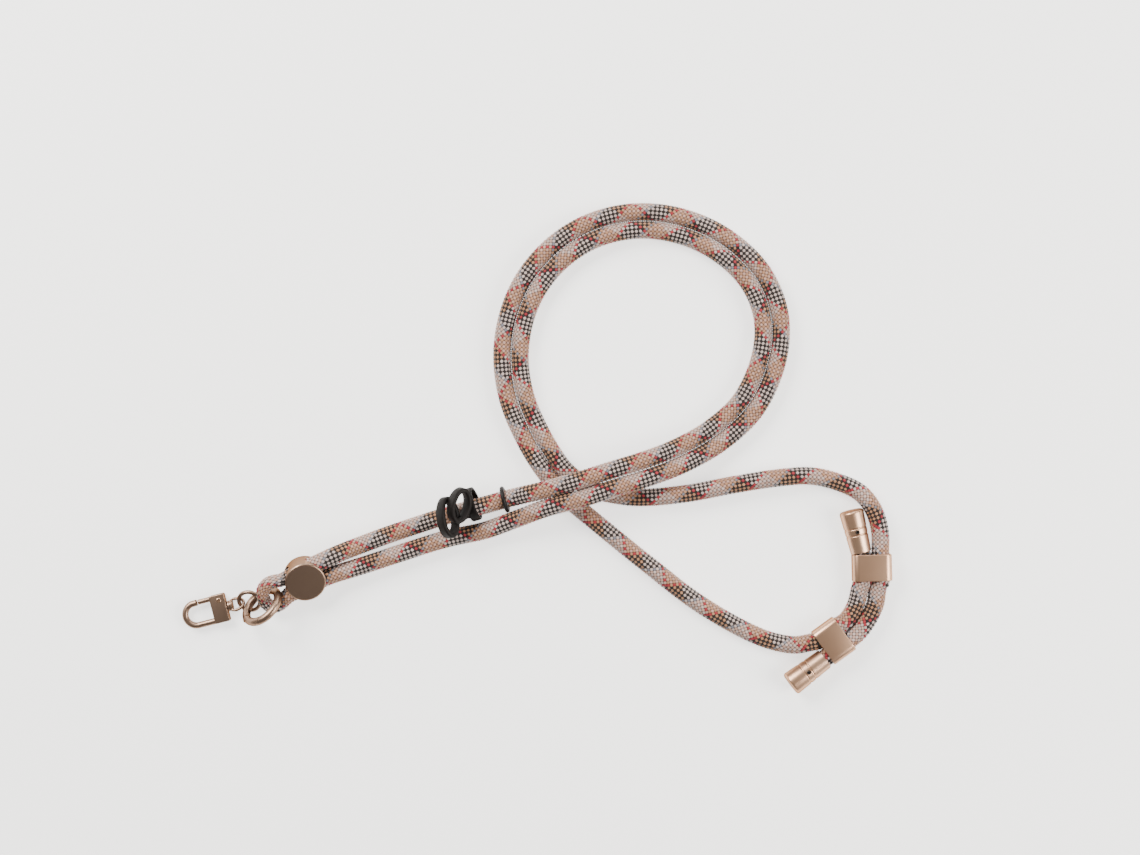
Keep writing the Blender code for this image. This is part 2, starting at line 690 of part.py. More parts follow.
def make_clasp(look):
    """The hook with its block, and the sprung gate bar. Local X runs from the hook to the swivel."""
    place = clasp_place()
    side = (CLASP_WIDTH - CLASP_WIRE) / 2
    bend_x = -CLASP_LENGTH + CLASP_WIRE / 2 + side
    rivet = Vector((-RIVET_IN, CLASP_WIDTH / 2 - RIVET_IN, 0))
    gate_tip = rivet.x - CLASP_GATE_REACH
    line = [Vector((-BLOCK_LENGTH / 2, -side, 0)), Vector((bend_x, -side, 0))]
    line += arc_points((bend_x, 0), side, 270, 104, 14)[1:]
    line += [Vector((gate_tip - NOSE_GAP, side, 0))]
    hook = mesh_object("clasp_hook", path_tube(line, CLASP_WIRE, 12), look, place)
    block = mesh_object("clasp_block", block_shape(), look, place)
    boolean(hook, block, "UNION")
    seat_half = CLASP_GATE_D / 2 + PLAY
    left = -BLOCK_LENGTH - 2 * MM
    right = rivet.x + SLOT_BEHIND_RIVET
    low = rivet.y - SLOT_UNDER_RIVET
    high = CLASP_WIDTH / 2 + MM
    corners = ((left, low), (right, low), (right, high), (left, high))
    slot_shape = [[Vector((x, y, z)) for x, y in corners] for z in (-seat_half, seat_half)]
    slot = mesh_object("clasp_slot", rings_to_mesh(slot_shape, closed=False), look, place)
    boolean(hook, slot, "DIFFERENCE")
    rivet_place = place @ Matrix.Translation(rivet) @ UPRIGHT
    boolean(hook, mesh_object("clasp_rivet", rivet_shape(), look, rivet_place), "UNION")
    stem_radius = STEM_D / 2 + PLAY
    stem_hole = turned([(-STEM_LENGTH - PLAY, stem_radius), (MM, stem_radius)], 18)
    boolean(hook, mesh_object("stem_hole", stem_hole, look, place), "DIFFERENCE")
    bar = [Vector((gate_tip, side, 0)), Vector((rivet.x - CLASP_GATE_CRANK, side, 0)), rivet]
    gate = mesh_object("clasp_gate", path_tube(bar, CLASP_GATE_D, 12), look, place)
    half = CLASP_GATE_D / 2
    knuckle = turned([(-half, KNUCKLE_D / 2), (half, KNUCKLE_D / 2)], 16)
    boolean(gate, mesh_object("gate_knuckle", knuckle, look, rivet_place), "UNION")
    eye_radius = RIVET_PIN_D / 2 + PLAY
    eye = turned([(-2 * half, eye_radius), (2 * half, eye_radius)], 12)
    boolean(gate, mesh_object("gate_eye", eye, look, rivet_place), "DIFFERENCE")
    return hook, gate


def make_swivel(look):
    """The stem, collar and eye that the clasp turns on."""
    place = clasp_place() @ Matrix.Rotation(math.radians(EYE_ROLL), 4, "X")
    end = PLAY + COLLAR_LENGTH
    radius = COLLAR_D / 2
    profile = [(-STEM_LENGTH, STEM_D / 2), (PLAY, STEM_D / 2), (PLAY, radius - COLLAR_BEVEL)]
    profile += [(PLAY + COLLAR_BEVEL, radius), (end - COLLAR_BEVEL, radius), (end, radius - COLLAR_BEVEL)]
    swivel = mesh_object("swivel_eye", turned(profile, 18), look, place)
    near = end - EYE_WIRE * 0.3
    reach = end + EYE_LENGTH - EYE_WIRE / 2 - near
    half = (EYE_WIDTH - EYE_WIRE) / 2
    line = [Vector((near, half * 0.9, 0)), Vector((near, -half * 0.9, 0))]
    for i in range(13):
        angle = math.radians(-90 + 180 * i / 12)
        line.append(Vector((near + reach * (0.25 + 0.75 * math.cos(angle)), half * math.sin(angle), 0)))
    eye = mesh_object("swivel_loop", path_tube(line, EYE_WIRE, 8, closed=True), look, place)
    boolean(swivel, eye, "UNION")
    return swivel


def main():
    clear_scene()
    cloth = material("braided_cord", (0.55, 0.43, 0.38, 1.0), 0.85, 0.0)
    bright = material("rose_metal", (0.80, 0.62, 0.50, 1.0), 0.28, 1.0)
    satin = material("champagne_metal", (0.52, 0.41, 0.33, 1.0), 0.35, 1.0)
    dark = material("dark_screw", (0.03, 0.025, 0.02, 1.0), 0.5, 0.6)
    soft = material("black_silicone", (0.03, 0.022, 0.02, 1.0), 0.55, 0.0)
    rubber = material("black_rubber", (0.012, 0.012, 0.012, 1.0), 0.4, 0.0)
    make_cord(cloth)
    make_sleeve("sleeve_upper", SLEEVE_UPPER, SLEEVE_UPPER_ANGLE, bright)
    make_sleeve("sleeve_lower", SLEEVE_LOWER, SLEEVE_LOWER_ANGLE, bright)
    make_cap("end_cap_upper", UPPER_CAP_MOUTH, UPPER_CAP_ANGLE, bright)
    make_cap("end_cap_lower", LOWER_CAP_MOUTH, LOWER_CAP_ANGLE, bright)
    make_screw("set_screw_upper", UPPER_CAP_MOUTH, UPPER_CAP_ANGLE, dark)
    make_screw("set_screw_lower", LOWER_CAP_MOUTH, LOWER_CAP_ANGLE, dark)
    make_disc(satin)
    make_o_ring(rubber)
    make_keeper(soft)
    make_gate_ring(satin)
    make_jump_ring(satin)
    make_clasp(satin)
    make_swivel(satin)


main()
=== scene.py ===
# The phone crossbody strap as it looks: a braided cord with plated metal and soft rubber pieces.
# Lengths are in metres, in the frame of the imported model.

import math

import bmesh
import bpy
import numpy as np
from mathutils import Matrix, Vector


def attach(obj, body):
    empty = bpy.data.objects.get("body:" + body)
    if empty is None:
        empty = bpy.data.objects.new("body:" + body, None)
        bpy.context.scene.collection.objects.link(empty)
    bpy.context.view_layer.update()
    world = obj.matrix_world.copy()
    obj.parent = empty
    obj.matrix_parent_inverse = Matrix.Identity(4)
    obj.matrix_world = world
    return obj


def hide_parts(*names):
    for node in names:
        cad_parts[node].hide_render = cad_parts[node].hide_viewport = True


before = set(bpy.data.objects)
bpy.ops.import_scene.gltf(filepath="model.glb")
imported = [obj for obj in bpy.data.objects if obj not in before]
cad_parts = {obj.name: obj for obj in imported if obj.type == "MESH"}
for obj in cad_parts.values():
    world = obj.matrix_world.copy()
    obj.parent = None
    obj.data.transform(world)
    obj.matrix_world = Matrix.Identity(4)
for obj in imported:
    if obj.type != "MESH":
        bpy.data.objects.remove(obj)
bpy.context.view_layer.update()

MM = 0.001
NEARLY = 0.01 * MM

# The cord
CORD_D = 7.9 * MM
CORD_GAP = 0.3 * MM
CLEARANCE = 0.3 * MM
PINCH = 0.76
PINCH_HALF = 13 * MM
PINCH_FADE = 10 * MM

# The two double-barrelled sleeves that adjust the length
SLEEVE_LENGTH = 12.0 * MM
SLEEVE_WALL = 0.6 * MM
SLEEVE_CORNER = 3.0 * MM
SLEEVE_RIM = 0.35 * MM
SLEEVE_BORE_RIM = 0.18 * MM
SLEEVE_UPPER = (152.2 * MM, 10.0 * MM)
SLEEVE_UPPER_ANGLE = 91.5
SLEEVE_LOWER = (134.8 * MM, -23.1 * MM)
SLEEVE_LOWER_ANGLE = 36.0

# The two end caps
CAP_LENGTH = 19.5 * MM
CAP_HEAD_D = 11.2 * MM
CAP_MOUTH_D = 9.4 * MM
CAP_BORE_DEPTH = 12.0 * MM
CAP_BORE_END = 0.4 * MM
CORD_IN_CAP = 0.7
CORD_PAST_MOUTH = 1.0 * MM
CAP_GROOVE_DEPTH = 0.25 * MM
CAP_GROOVE_WIDTH = 0.5 * MM
CAP_GROOVES = (0.42, 0.58)
CAP_RIM = 1.2 * MM
CAP_SCREW_AT = 0.5
SCREW_D = 1.8 * MM
SCREW_HOLE_DEPTH = 1.2 * MM
SCREW_SUNK = 0.1 * MM
SCREW_SLACK = 0.05 * MM
SCREW_RIM_HEIGHT = 0.12 * MM
SCREW_RIM = 0.14 * MM
SOCKET_DEPTH = 0.5 * MM
SOCKET_RADIUS = 0.45 * MM
UPPER_CAP_MOUTH = (147.4 * MM, 17.0 * MM)
UPPER_CAP_ANGLE = 104.0
LOWER_CAP_MOUTH = (130.8 * MM, -31.4 * MM)
LOWER_CAP_ANGLE = 216.6

# The flat round stopper that both strands run through
DISC_D = 18.6 * MM
DISC_WALL = 0.6 * MM
DISC_EDGE = 1.0 * MM
DISC_AT = (-104.8 * MM, 5.4 * MM)
DISC_ANGLE = 25.0
DISC_ROLL = 24.0

# The small round keeper on one strand
O_RING_WIRE = 1.9 * MM

# The soft keeper: three flat loops in one moulding
KEEPER_AT = (-28.9 * MM, 38.8 * MM, 6.8 * MM)
LOOP_HALF = 7.1 * MM
LOOP_WALL = 1.6 * MM
LOOP_BAND = 4.6 * MM

# The spring-gate ring
GATE_RING_D = 21.3 * MM
GATE_RING_WIRE = 3.7 * MM
GATE_RING_AT = (-124.0 * MM, -7.1 * MM)
GATE_RING_ANGLE = 40.0
GATE_RING_TILT = 54.7
GATE_FROM = 113.0
GATE_HINGE = 195.0
SEAM_SLANT = 45.0
HEEL_SLANT = 27.0
HINGE_CHEEK = 2.0 * MM
HINGE_TONGUE = 1.3 * MM
HINGE_TONGUE_REACH = 1.65 * MM
HINGE_TONGUE_ROOT = 3.3 * MM
HINGE_PIN_D = 1.1 * MM
HINGE_PIN_SHORT = 0.05 * MM
HINGE_PIN_RIM = 0.1 * MM
HINGE_PIN_FACE = 0.35 * MM
PLAY = 0.3 * MM

# The thin ring between the swivel and the gate ring
JUMP_RING_D = 11.5 * MM
JUMP_RING_WIRE = 1.8 * MM
JUMP_RING_AT = (-130.63 * MM, -5.37 * MM, 3.43 * MM)
JUMP_RING_TILT = 29.0
JUMP_RING_RISE_TOWARDS = 77.5

# The clasp
CLASP_AT = (-140.74 * MM, -7.8 * MM)
CLASP_ANGLE = 14.3
CLASP_WIDTH = 13.0 * MM
CLASP_LENGTH = 21.0 * MM
CLASP_WIRE = 2.8 * MM
BLOCK_LENGTH = 7.0 * MM
BLOCK_THICKNESS = 4.8 * MM
BLOCK_CORNER = 0.8 * MM
BLOCK_BEVEL = 0.5 * MM
CLASP_GATE_D = 2.3 * MM
CLASP_GATE_REACH = 9.6 * MM
CLASP_GATE_CRANK = 3.4 * MM
KNUCKLE_D = 3.0 * MM
NOSE_GAP = 0.5 * MM
SLOT_BEHIND_RIVET = 1.8 * MM
SLOT_UNDER_RIVET = 2.7 * MM
RIVET_D = 2.2 * MM
RIVET_IN = 2.9 * MM
RIVET_PROUD = 0.2 * MM
RIVET_PIN_D = 1.2 * MM
COLLAR_D = 4.8 * MM
COLLAR_LENGTH = 2.3 * MM
COLLAR_RIM = 0.25 * MM
# The collar's groove, as distance from its near end and depth, and its rounded far rim from the far end
COLLAR_GROOVE = ((0.8 * MM, 0.0), (0.95 * MM, 0.18 * MM), (1.1 * MM, 0.0))
COLLAR_FAR_RIM = ((0.3 * MM, 0.0), (0.08 * MM, 0.1 * MM), (0.0, 0.4 * MM))
STEM_D = 1.8 * MM
STEM_LENGTH = 2.5 * MM
EYE_LENGTH = 5.7 * MM
EYE_WIDTH = 7.4 * MM
EYE_WIRE = 1.4 * MM
EYE_ROLL = -32.2


def rings_to_mesh(rings, closed):
    """A bmesh through equal rings of points: a closed loop of them, or a run with flat ends."""
    bm = bmesh.new()
    rows = [[bm.verts.new(p) for p in ring] for ring in rings]
    count = len(rows[0])
    pairs = list(zip(rows, rows[1:] + rows[:1])) if closed else list(zip(rows, rows[1:]))
    for one, two in pairs:
        for i in range(count):
            j = (i + 1) % count
            bm.faces.new((one[i], one[j], two[j], two[i]))
    if not closed:
        bm.faces.new(rows[0])
        bm.faces.new(rows[-1])
    return bm


def turned(profile, sides):
    """A solid of revolution about local X, from (distance along, radius) pairs."""
    rings = []
    for along, radius in profile:
        turn = [2 * math.pi * i / sides for i in range(sides)]
        rings.append([Vector((along, radius * math.cos(t), radius * math.sin(t))) for t in turn])
    return rings_to_mesh(rings, closed=False)


def arc_tube(radius, wire, start, end, sides, steps, slants=(0.0, 0.0), only_inside=False):
    """A round bar along an arc in local XY, angles in degrees. A full turn closes on itself.

    Each end can be cut at a slant, its outer side further along the arc than its inner side. The
    slant fades out to the middle of the arc. With only_inside, the last end is cut on its inner side alone.
    """
    whole = abs(end - start) >= 360
    count = steps if whole else steps + 1
    rings = []
    for i in range(count):
        share = i / steps
        slant = math.tan(math.radians(slants[0])) * max(0.0, 1 - 2 * share)
        slant += math.tan(math.radians(slants[1])) * max(0.0, 2 * share - 1)
        ring = []
        for k in range(sides):
            turn = 2 * math.pi * k / sides
            outward = wire / 2 * math.cos(turn)
            shift = min(outward, 0.0) if only_inside and share > 0.5 else outward
            angle = math.radians(start + (end - start) * share) + slant * shift / radius
            out = Vector((math.cos(angle), math.sin(angle), 0))
            ring.append(out * (radius + outward) + Vector((0, 0, wire / 2 * math.sin(turn))))
        rings.append(ring)
    return rings_to_mesh(rings, closed=whole)


def path_tube(points, diameter, sides, closed=False):
    """A round bar through points in local XY."""
    rings = []
    count = len(points)
    for i, point in enumerate(points):
        before = points[i - 1] if closed or i else point
        after = points[(i + 1) % count] if closed or i < count - 1 else point
        along = (after - before).normalized()
        side = Vector((0, 0, 1)).cross(along)
        turn = [2 * math.pi * k / sides for k in range(sides)]
        half = diameter / 2
        rings.append([point + side * half * math.cos(t) + Vector((0, 0, half * math.sin(t))) for t in turn])
    return rings_to_mesh(rings, closed)


def arc_points(centre, radius, start, end, steps):
    angles = [math.radians(start + (end - start) * i / steps) for i in range(steps + 1)]
    return [Vector((centre[0] + radius * math.cos(a), centre[1] + radius * math.sin(a), 0)) for a in angles]


def rounded_outline(length, width, corner, steps):
    """Points of a rounded rectangle about the origin, anticlockwise."""
    points = []
    centres = ((1, 1, 0), (-1, 1, 90), (-1, -1, 180), (1, -1, 270))
    for sx, sy, start in centres:
        centre = (sx * (length / 2 - corner), sy * (width / 2 - corner))
        points += arc_points(centre, corner, start, start + 90, steps)
    return points


def prism(outline, low, high):
    """An outline in local YZ, given as XY points, extruded along local X."""
    rings = [[Vector((x, p.x, p.y)) for p in outline] for x in (low, high)]
    return rings_to_mesh(rings, closed=False)


def placed(at, angle, roll=0.0):
    """Local X turned by angle about the vertical, then rolled about local X."""
    turn = Matrix.Rotation(math.radians(angle), 4, "Z")
    return Matrix.Translation(Vector(at)) @ turn @ Matrix.Rotation(math.radians(roll), 4, "X")


UPRIGHT = Matrix.Rotation(math.radians(-90), 4, "Y")

# Radius of the flat face that closes a turned shape
END_FACE = 0.5 * MM

# Sizes that follow from the ones above
BORE = CORD_D + 2 * CLEARANCE
LANE = (CORD_D + CORD_GAP) / 2
SLEEVE_HEIGHT = BORE + 2 * SLEEVE_WALL
SLEEVE_WIDTH = 2 * LANE + SLEEVE_HEIGHT
DISC_THICKNESS = BORE + 2 * DISC_WALL
STRAND_END = SLEEVE_LENGTH / 2 + CLEARANCE


def disc_rest():
    """Height of the rolled stopper's middle above the table it leans on."""
    roll = math.radians(DISC_ROLL)
    across = (DISC_D / 2 - DISC_EDGE) * math.sin(roll)
    through = (DISC_THICKNESS / 2 - DISC_EDGE) * math.cos(roll)
    return across + through + DISC_EDGE


def sleeve_place(at, angle):
    return placed((at[0], at[1], SLEEVE_HEIGHT / 2), angle)


def disc_place():
    return placed((DISC_AT[0], DISC_AT[1], disc_rest()), DISC_ANGLE, DISC_ROLL)


def cap_place(mouth, angle):
    """Local X runs from the mouth to the closed end, and the cap lies along its tapered side."""
    rise = math.degrees(math.atan2(CAP_HEAD_D - CAP_MOUTH_D, 2 * CAP_LENGTH))
    turn = Matrix.Rotation(math.radians(angle), 4, "Z") @ Matrix.Rotation(math.radians(-rise), 4, "Y")
    return Matrix.Translation(Vector((mouth[0], mouth[1], CAP_MOUTH_D / 2))) @ turn


def gate_ring_place():
    wire_middle = (GATE_RING_D - GATE_RING_WIRE) / 2
    height = GATE_RING_WIRE / 2 + wire_middle * math.sin(math.radians(GATE_RING_TILT))
    at = (GATE_RING_AT[0], GATE_RING_AT[1], height)
    return placed(at, GATE_RING_ANGLE, 180 - GATE_RING_TILT)


def lane(place, side, half):
    """Two ends and the middle of one strand's straight way through a sleeve or the stopper."""
    return [place @ Vector((x, side * LANE, 0)) for x in (-half, 0, half)]


def in_cap(mouth, angle):
    place = cap_place(mouth, angle)
    return [place @ Vector((x, 0, 0)) for x in (CAP_BORE_DEPTH * CORD_IN_CAP, -CORD_PAST_MOUTH)]


# The cord's route, point by point, in millimetres: x, y and the height of the cord's middle.
FROM_UPPER_SLEEVE = (
    (147.2, 1.6, 4.7),
    (144.9, -7.1, 4.3),
    (140.6, -14.0, 4.7),
)
LOWER_TAIL = (
    (125.3, -23.8, 4.6),
    (117.4, -25.2, 4.1),
    (107.0, -23.4, 4.0),
    (95.6, -18.9, 4.0),
    (73.3, -6.0, 4.0),
    (50.6, 11.4, 4.0),
    (27.4, 30.2, 4.0),
    (13.3, 42.2, 4.0),
    (3.1, 54.1, 4.0),
)
# The middle between the two strands of the big loop, clockwise from its lower left
LOOP_MIDDLE = (
    (-1.9, 70.1, 4.0),
    (-9.2, 87.9, 4.0),
    (-11.6, 106.1, 4.0),
    (-9.4, 122.5, 4.0),
    (-2.6, 138.8, 4.0),
    (10.8, 154.2, 4.0),
    (27.8, 163.9, 4.0),
    (47.0, 167.5, 4.0),
    (66.5, 164.8, 4.0),
    (84.7, 156.2, 4.0),
    (99.7, 141.5, 4.0),
    (106.7, 123.4, 4.0),
    (105.4, 104.3, 4.0),
    (96.1, 83.8, 4.0),
    (81.5, 70.1, 4.6),
    (65.2, 60.9, 7.6),
    (49.5, 54.9, 11.4),
    (34.3, 50.3, 12.6),
    (19.0, 45.4, 12.6),
    (2.9, 41.0, 10.8),
)
LEFT_LOWER = (
    (-9.6, 31.9, 6.6),
    (-23.3, 26.9, 4.2),
    (-41.7, 22.8, 4.0),
    (-61.2, 16.7, 4.0),
    (-78.0, 11.2, 4.3),
    (-88.7, 8.0, 5.7),
)
BIGHT = (
    (-114.1, -4.2, 5.2),
    (-116.5, -6.7, 4.4),
    (-119.6, -7.7, 4.6),
    (-122.1, -6.4, 6.2),
    (-123.4, -3.8, 8.3),
    (-123.6, -1.1, 10.2),
    (-122.6, 1.5, 11.6),
    (-120.6, 3.4, 12.2),
    (-118.0, 4.3, 11.6),
    (-116.2, 4.5, 10.6),
)
LEFT_UPPER = (
    (-91.2, 15.8, 8.4),
    (-83.2, 19.0, 5.8),
    (-68.9, 24.3, 4.1),
    (-53.0, 29.7, 4.1),
    (-40.7, 33.6, 5.0),
    (-30.3, 36.6, 6.4),
    (-22.1, 38.8, 6.6),
    (-14.4, 41.0, 6.5),
    (-7.6, 42.7, 7.7),
)
UPPER_TAIL = (
    (7.2, 62.5, 4.0),
    (13.3, 54.1, 4.0),
    (24.3, 46.1, 4.0),
    (39.7, 42.3, 4.0),
    (51.5, 41.9, 4.0),
    (69.7, 43.8, 4.0),
    (90.2, 47.7, 4.0),
    (110.6, 50.8, 4.0),
    (124.2, 51.6, 4.0),
    (136.1, 49.1, 4.0),
    (146.7, 44.2, 4.0),
    (153.1, 36.3, 4.0),
    (156.0, 26.6, 4.2),
)
BETWEEN_SLEEVES = (
    (155.2, 1.6, 4.7),
    (153.7, -7.2, 4.3),
    (147.6, -17.8, 4.7),
)


def metres(points):
    return [Vector(p) * MM for p in points]


def beside(points, side):
    """The points moved sideways by one lane, to the left of the way they run for side 1."""
    moved = []
    for i, point in enumerate(points):
        along = points[min(i + 1, len(points) - 1)] - points[max(i - 1, 0)]
        across = Vector((-along.y, along.x, 0)).normalized()
        moved.append(point + across * LANE * side)
    return moved


def cord_route():
    """The cord's middle line from the upper cap to the lower one."""
    upper = sleeve_place(SLEEVE_UPPER, SLEEVE_UPPER_ANGLE)
    lower = sleeve_place(SLEEVE_LOWER, SLEEVE_LOWER_ANGLE)
    disc = disc_place()
    disc_half = DISC_D / 2
    loop = metres(LOOP_MIDDLE)
    route = in_cap(UPPER_CAP_MOUTH, UPPER_CAP_ANGLE)
    route += reversed(lane(upper, 1, STRAND_END))
    route += metres(FROM_UPPER_SLEEVE)
    route += reversed(lane(lower, 1, STRAND_END))
    route += metres(LOWER_TAIL)
    route += beside(loop, 1)
    route += metres(LEFT_LOWER)
    route += reversed(lane(disc, -1, disc_half))
    route += metres(BIGHT)
    route += lane(disc, 1, disc_half)
    route += metres(LEFT_UPPER)
    route += reversed(beside(loop, -1))
    route += metres(UPPER_TAIL)
    route += reversed(lane(upper, -1, STRAND_END))
    route += metres(BETWEEN_SLEEVES)
    route += reversed(lane(lower, -1, STRAND_END))
    route += reversed(in_cap(LOWER_CAP_MOUTH, LOWER_CAP_ANGLE))
    return route


def smooth(points, step):
    """A centripetal Catmull-Rom curve through the points, with a point about every step."""
    ends = [points[0] * 2 - points[1]] + points + [points[-1] * 2 - points[-2]]
    line = []
    for p0, p1, p2, p3 in zip(ends, ends[1:], ends[2:], ends[3:]):
        t1 = (p1 - p0).length ** 0.5
        t2 = t1 + (p2 - p1).length ** 0.5
        t3 = t2 + (p3 - p2).length ** 0.5
        count = max(1, round((p2 - p1).length / step))
        for k in range(count):
            t = t1 + (t2 - t1) * k / count
            a1 = p0.lerp(p1, t / t1)
            a2 = p1.lerp(p2, (t - t1) / (t2 - t1))
            a3 = p2.lerp(p3, (t - t2) / (t3 - t2))
            b1 = a1.lerp(a2, t / t2)
            b2 = a2.lerp(a3, (t - t1) / (t3 - t1))
            line.append(b1.lerp(b2, (t - t1) / (t2 - t1)))
    return line + [points[-1]]


# The soft keeper's loops: each one's middle, from KEEPER_AT, and half sizes as shares of LOOP_HALF, its
# (lean, turn) in degrees, and its band's width and wall as shares of LOOP_BAND and LOOP_WALL
KEEPER_LOOPS = (
    {"at": (0, 0, 0), "half": (1.0, 0.83), "lean_turn": (80, 17), "band_wall": (0.9, 0.75)},
    {"at": (-0.79, -0.03, 1.24), "half": (0.99, 0.61), "lean_turn": (37, -12), "band_wall": (1.1, 1.4)},
    {"at": (-1.51, -0.8, 1.17), "half": (1.17, 0.58), "lean_turn": (43, 8), "band_wall": (1.1, 1.4)},
)


# The braid: carriers each way round, length of one turn, and how far its cells stand out
CARRIERS = 12
LAY_LENGTH = 22.9 * MM
ROW = LAY_LENGTH / (2 * CARRIERS)
CELL_RISE = 0.26 * MM
CELL_SINK = 0.30 * MM
BRAID_TURN = 1.28
BRAID_TWIST = -4.19
BRAID_START = 8.1 * MM
FINE_STEP = 0.3 * MM

# Yarn colours, linear
PALE = (0.53, 0.32, 0.25)
WHITE = (0.57, 0.45, 0.41)
TAN = (0.44, 0.225, 0.125)
DARK = (0.018, 0.013, 0.012)
RED = (0.36, 0.030, 0.04)
SLATE = (0.20, 0.20, 0.23)
# The yarns that turn forwards with the way round the cord, and those that turn back, in their order round it
FORWARD_YARNS = (RED,) + (TAN,) * 5 + (WHITE,) * 6
BACKWARD_YARNS = (RED,) + (PALE,) * 5 + (SLATE,) + (DARK,) * 5


def even_line(points, step):
    """Points a step apart along a line, as an array."""
    line = np.array([tuple(p) for p in points])
    run = np.concatenate([[0.0], np.cumsum(np.linalg.norm(np.diff(line, axis=0), axis=1))])
    count = int(run[-1] / step)
    wanted = np.linspace(0.0, run[-1], count + 1)
    even = np.column_stack([np.interp(wanted, run, line[:, i]) for i in range(3)])
    return even, run[-1]


def steady_frames(line):
    """For each point, the way along and two sides that don't twist about it."""
    along = np.gradient(line, axis=0)
    along /= np.linalg.norm(along, axis=1)[:, None]
    sides = np.zeros_like(line)
    side = np.cross(along[0], (0.0, 0.0, 1.0))
    for i, way in enumerate(along):
        side = side - way * np.dot(side, way)
        side /= np.linalg.norm(side)
        sides[i] = side
    return along, sides, np.cross(along, sides)


def squeeze(line):
    """How thin the cord is at each point of an even line, squeezed where it folds round the gate ring."""
    spacing = np.linalg.norm(line[1] - line[0])
    away = np.abs(np.arange(len(line)) - np.argmin(line[:, 0])) * spacing - PINCH_HALF
    return PINCH + (1 - PINCH) * np.clip(away / PINCH_FADE, 0.0, 1.0)


def braided_rope():
    """The cord as a mesh of lozenge cells, one for each yarn that shows, coloured by its yarn."""
    line, length = even_line(smooth(cord_route(), FINE_STEP), ROW)
    along, side, up = steady_frames(line)
    thin = squeeze(line)
    rows = len(line)
    places = 2 * CARRIERS
    chance = np.random.default_rng(7)
    twist = BRAID_TURN + BRAID_TWIST * np.arange(rows) / rows
    turn = twist[:, None] + 2 * math.pi * np.arange(places)[None] / places
    row_number, place_number = np.meshgrid(np.arange(rows), np.arange(places), indexing="ij")
    is_cell = (row_number + place_number) % 2 == 0
    height = np.where(is_cell, CELL_RISE, -CELL_SINK)
    radius = (CORD_D / 2 + height) * thin[:, None]
    out = side[:, None, :] * np.cos(turn)[:, :, None] + up[:, None, :] * np.sin(turn)[:, :, None]
    points = line[:, None, :] + out * radius[:, :, None]
    vertex = row_number * places + place_number

    cell_row, cell_place = np.nonzero(is_cell[1:-1])
    cell_row += 1
    middle = vertex[cell_row, cell_place]
    back = vertex[cell_row - 1, cell_place]
    front = vertex[cell_row + 1, cell_place]
    left = vertex[cell_row, (cell_place + 1) % places]
    right = vertex[cell_row, (cell_place - 1) % places]
    faces = np.stack(
        [
            np.column_stack([middle, back, left]),
            np.column_stack([middle, left, front]),
            np.column_stack([middle, front, right]),
            np.column_stack([middle, right, back]),
        ],
        axis=1,
    ).reshape(-1, 3)

    # Even rows show the yarns that turn forwards, odd rows those that turn back
    forward_on_top = cell_row % 2 == 0
    shift = 2 * round(BRAID_START / ROW / 2)
    forward_yarn = ((cell_place - cell_row + shift) // 2) % CARRIERS
    backward_yarn = ((cell_place + cell_row - shift) // 2) % CARRIERS
    forward_colours = np.array(FORWARD_YARNS)[forward_yarn]
    backward_colours = np.array(BACKWARD_YARNS)[backward_yarn]
    colours = np.where(forward_on_top[:, None], forward_colours, backward_colours)
    colours = colours * chance.uniform(0.86, 1.10, (len(colours), 1))
    corner_colours = np.ones((len(colours), 12, 4), np.float32)
    corner_colours[:, :, :3] = np.clip(colours, 0, 1)[:, None, :]

    # Across a cell, u runs along its own yarn and v from one side of that yarn to the other
    corner_uv = {"middle": (0.5, 0.5), "back": (0, 0), "front": (1, 1), "left": (1, 0), "right": (0, 1)}
    around = ("back", "left", "front", "right")
    order = [name for i in range(4) for name in ("middle", around[i], around[(i + 1) % 4])]
    one_way = np.array([corner_uv[name] for name in order])
    other_way = one_way[:, ::-1]
    uv = np.where(forward_on_top[:, None, None], one_way[None], other_way[None])

    mesh = bpy.data.meshes.new("braided_rope")
    mesh.vertices.add(rows * places)
    mesh.vertices.foreach_set("co", points.reshape(-1))
    mesh.loops.add(len(faces) * 3)
    mesh.loops.foreach_set("vertex_index", faces.reshape(-1).astype(np.int32))
    mesh.polygons.add(len(faces))
    mesh.polygons.foreach_set("loop_start", (np.arange(len(faces)) * 3).astype(np.int32))
    mesh.update(calc_edges=True)
    mesh.validate()
    layer = mesh.color_attributes.new(name="yarn", type="FLOAT_COLOR", domain="CORNER")
    layer.data.foreach_set("color", corner_colours.reshape(-1))
    cells = mesh.uv_layers.new(name="cell")
    cells.data.foreach_set("uv", uv.astype(np.float32).reshape(-1))
    mesh.shade_smooth()
    return mesh, line, length


def add_object(name, mesh, look, place=None):
    mesh.materials.append(look)
    obj = bpy.data.objects.new(name, mesh)
    bpy.context.scene.collection.objects.link(obj)
    if place is not None:
        obj.matrix_world = place
    return obj


def shape(name, bm, look, place=None, sharp=34):
    bmesh.ops.recalc_face_normals(bm, faces=bm.faces)
    mesh = bpy.data.meshes.new(name)
    bm.to_mesh(mesh)
    bm.free()
    mesh.shade_smooth()
    mesh.set_sharp_from_angle(angle=math.radians(sharp))
    return add_object(name, mesh, look, place)


def carve(obj, cutters, sharp=34):
    """Cuts the shapes out of obj for good, and takes them out of the scene."""
    for cutter in cutters:
        cut = obj.modifiers.new("cut", "BOOLEAN")
        cut.operation = "DIFFERENCE"
        cut.object = cutter
        cut.solver = "EXACT"
    bpy.context.view_layer.update()
    depsgraph = bpy.context.evaluated_depsgraph_get()
    mesh = bpy.data.meshes.new_from_object(obj.evaluated_get(depsgraph))
    obj.modifiers.clear()
    old = obj.data
    obj.data = mesh
    bpy.data.meshes.remove(old)
    for cutter in cutters:
        bpy.data.objects.remove(cutter, do_unlink=True)
    mesh.shade_smooth()
    mesh.set_sharp_from_angle(angle=math.radians(sharp))


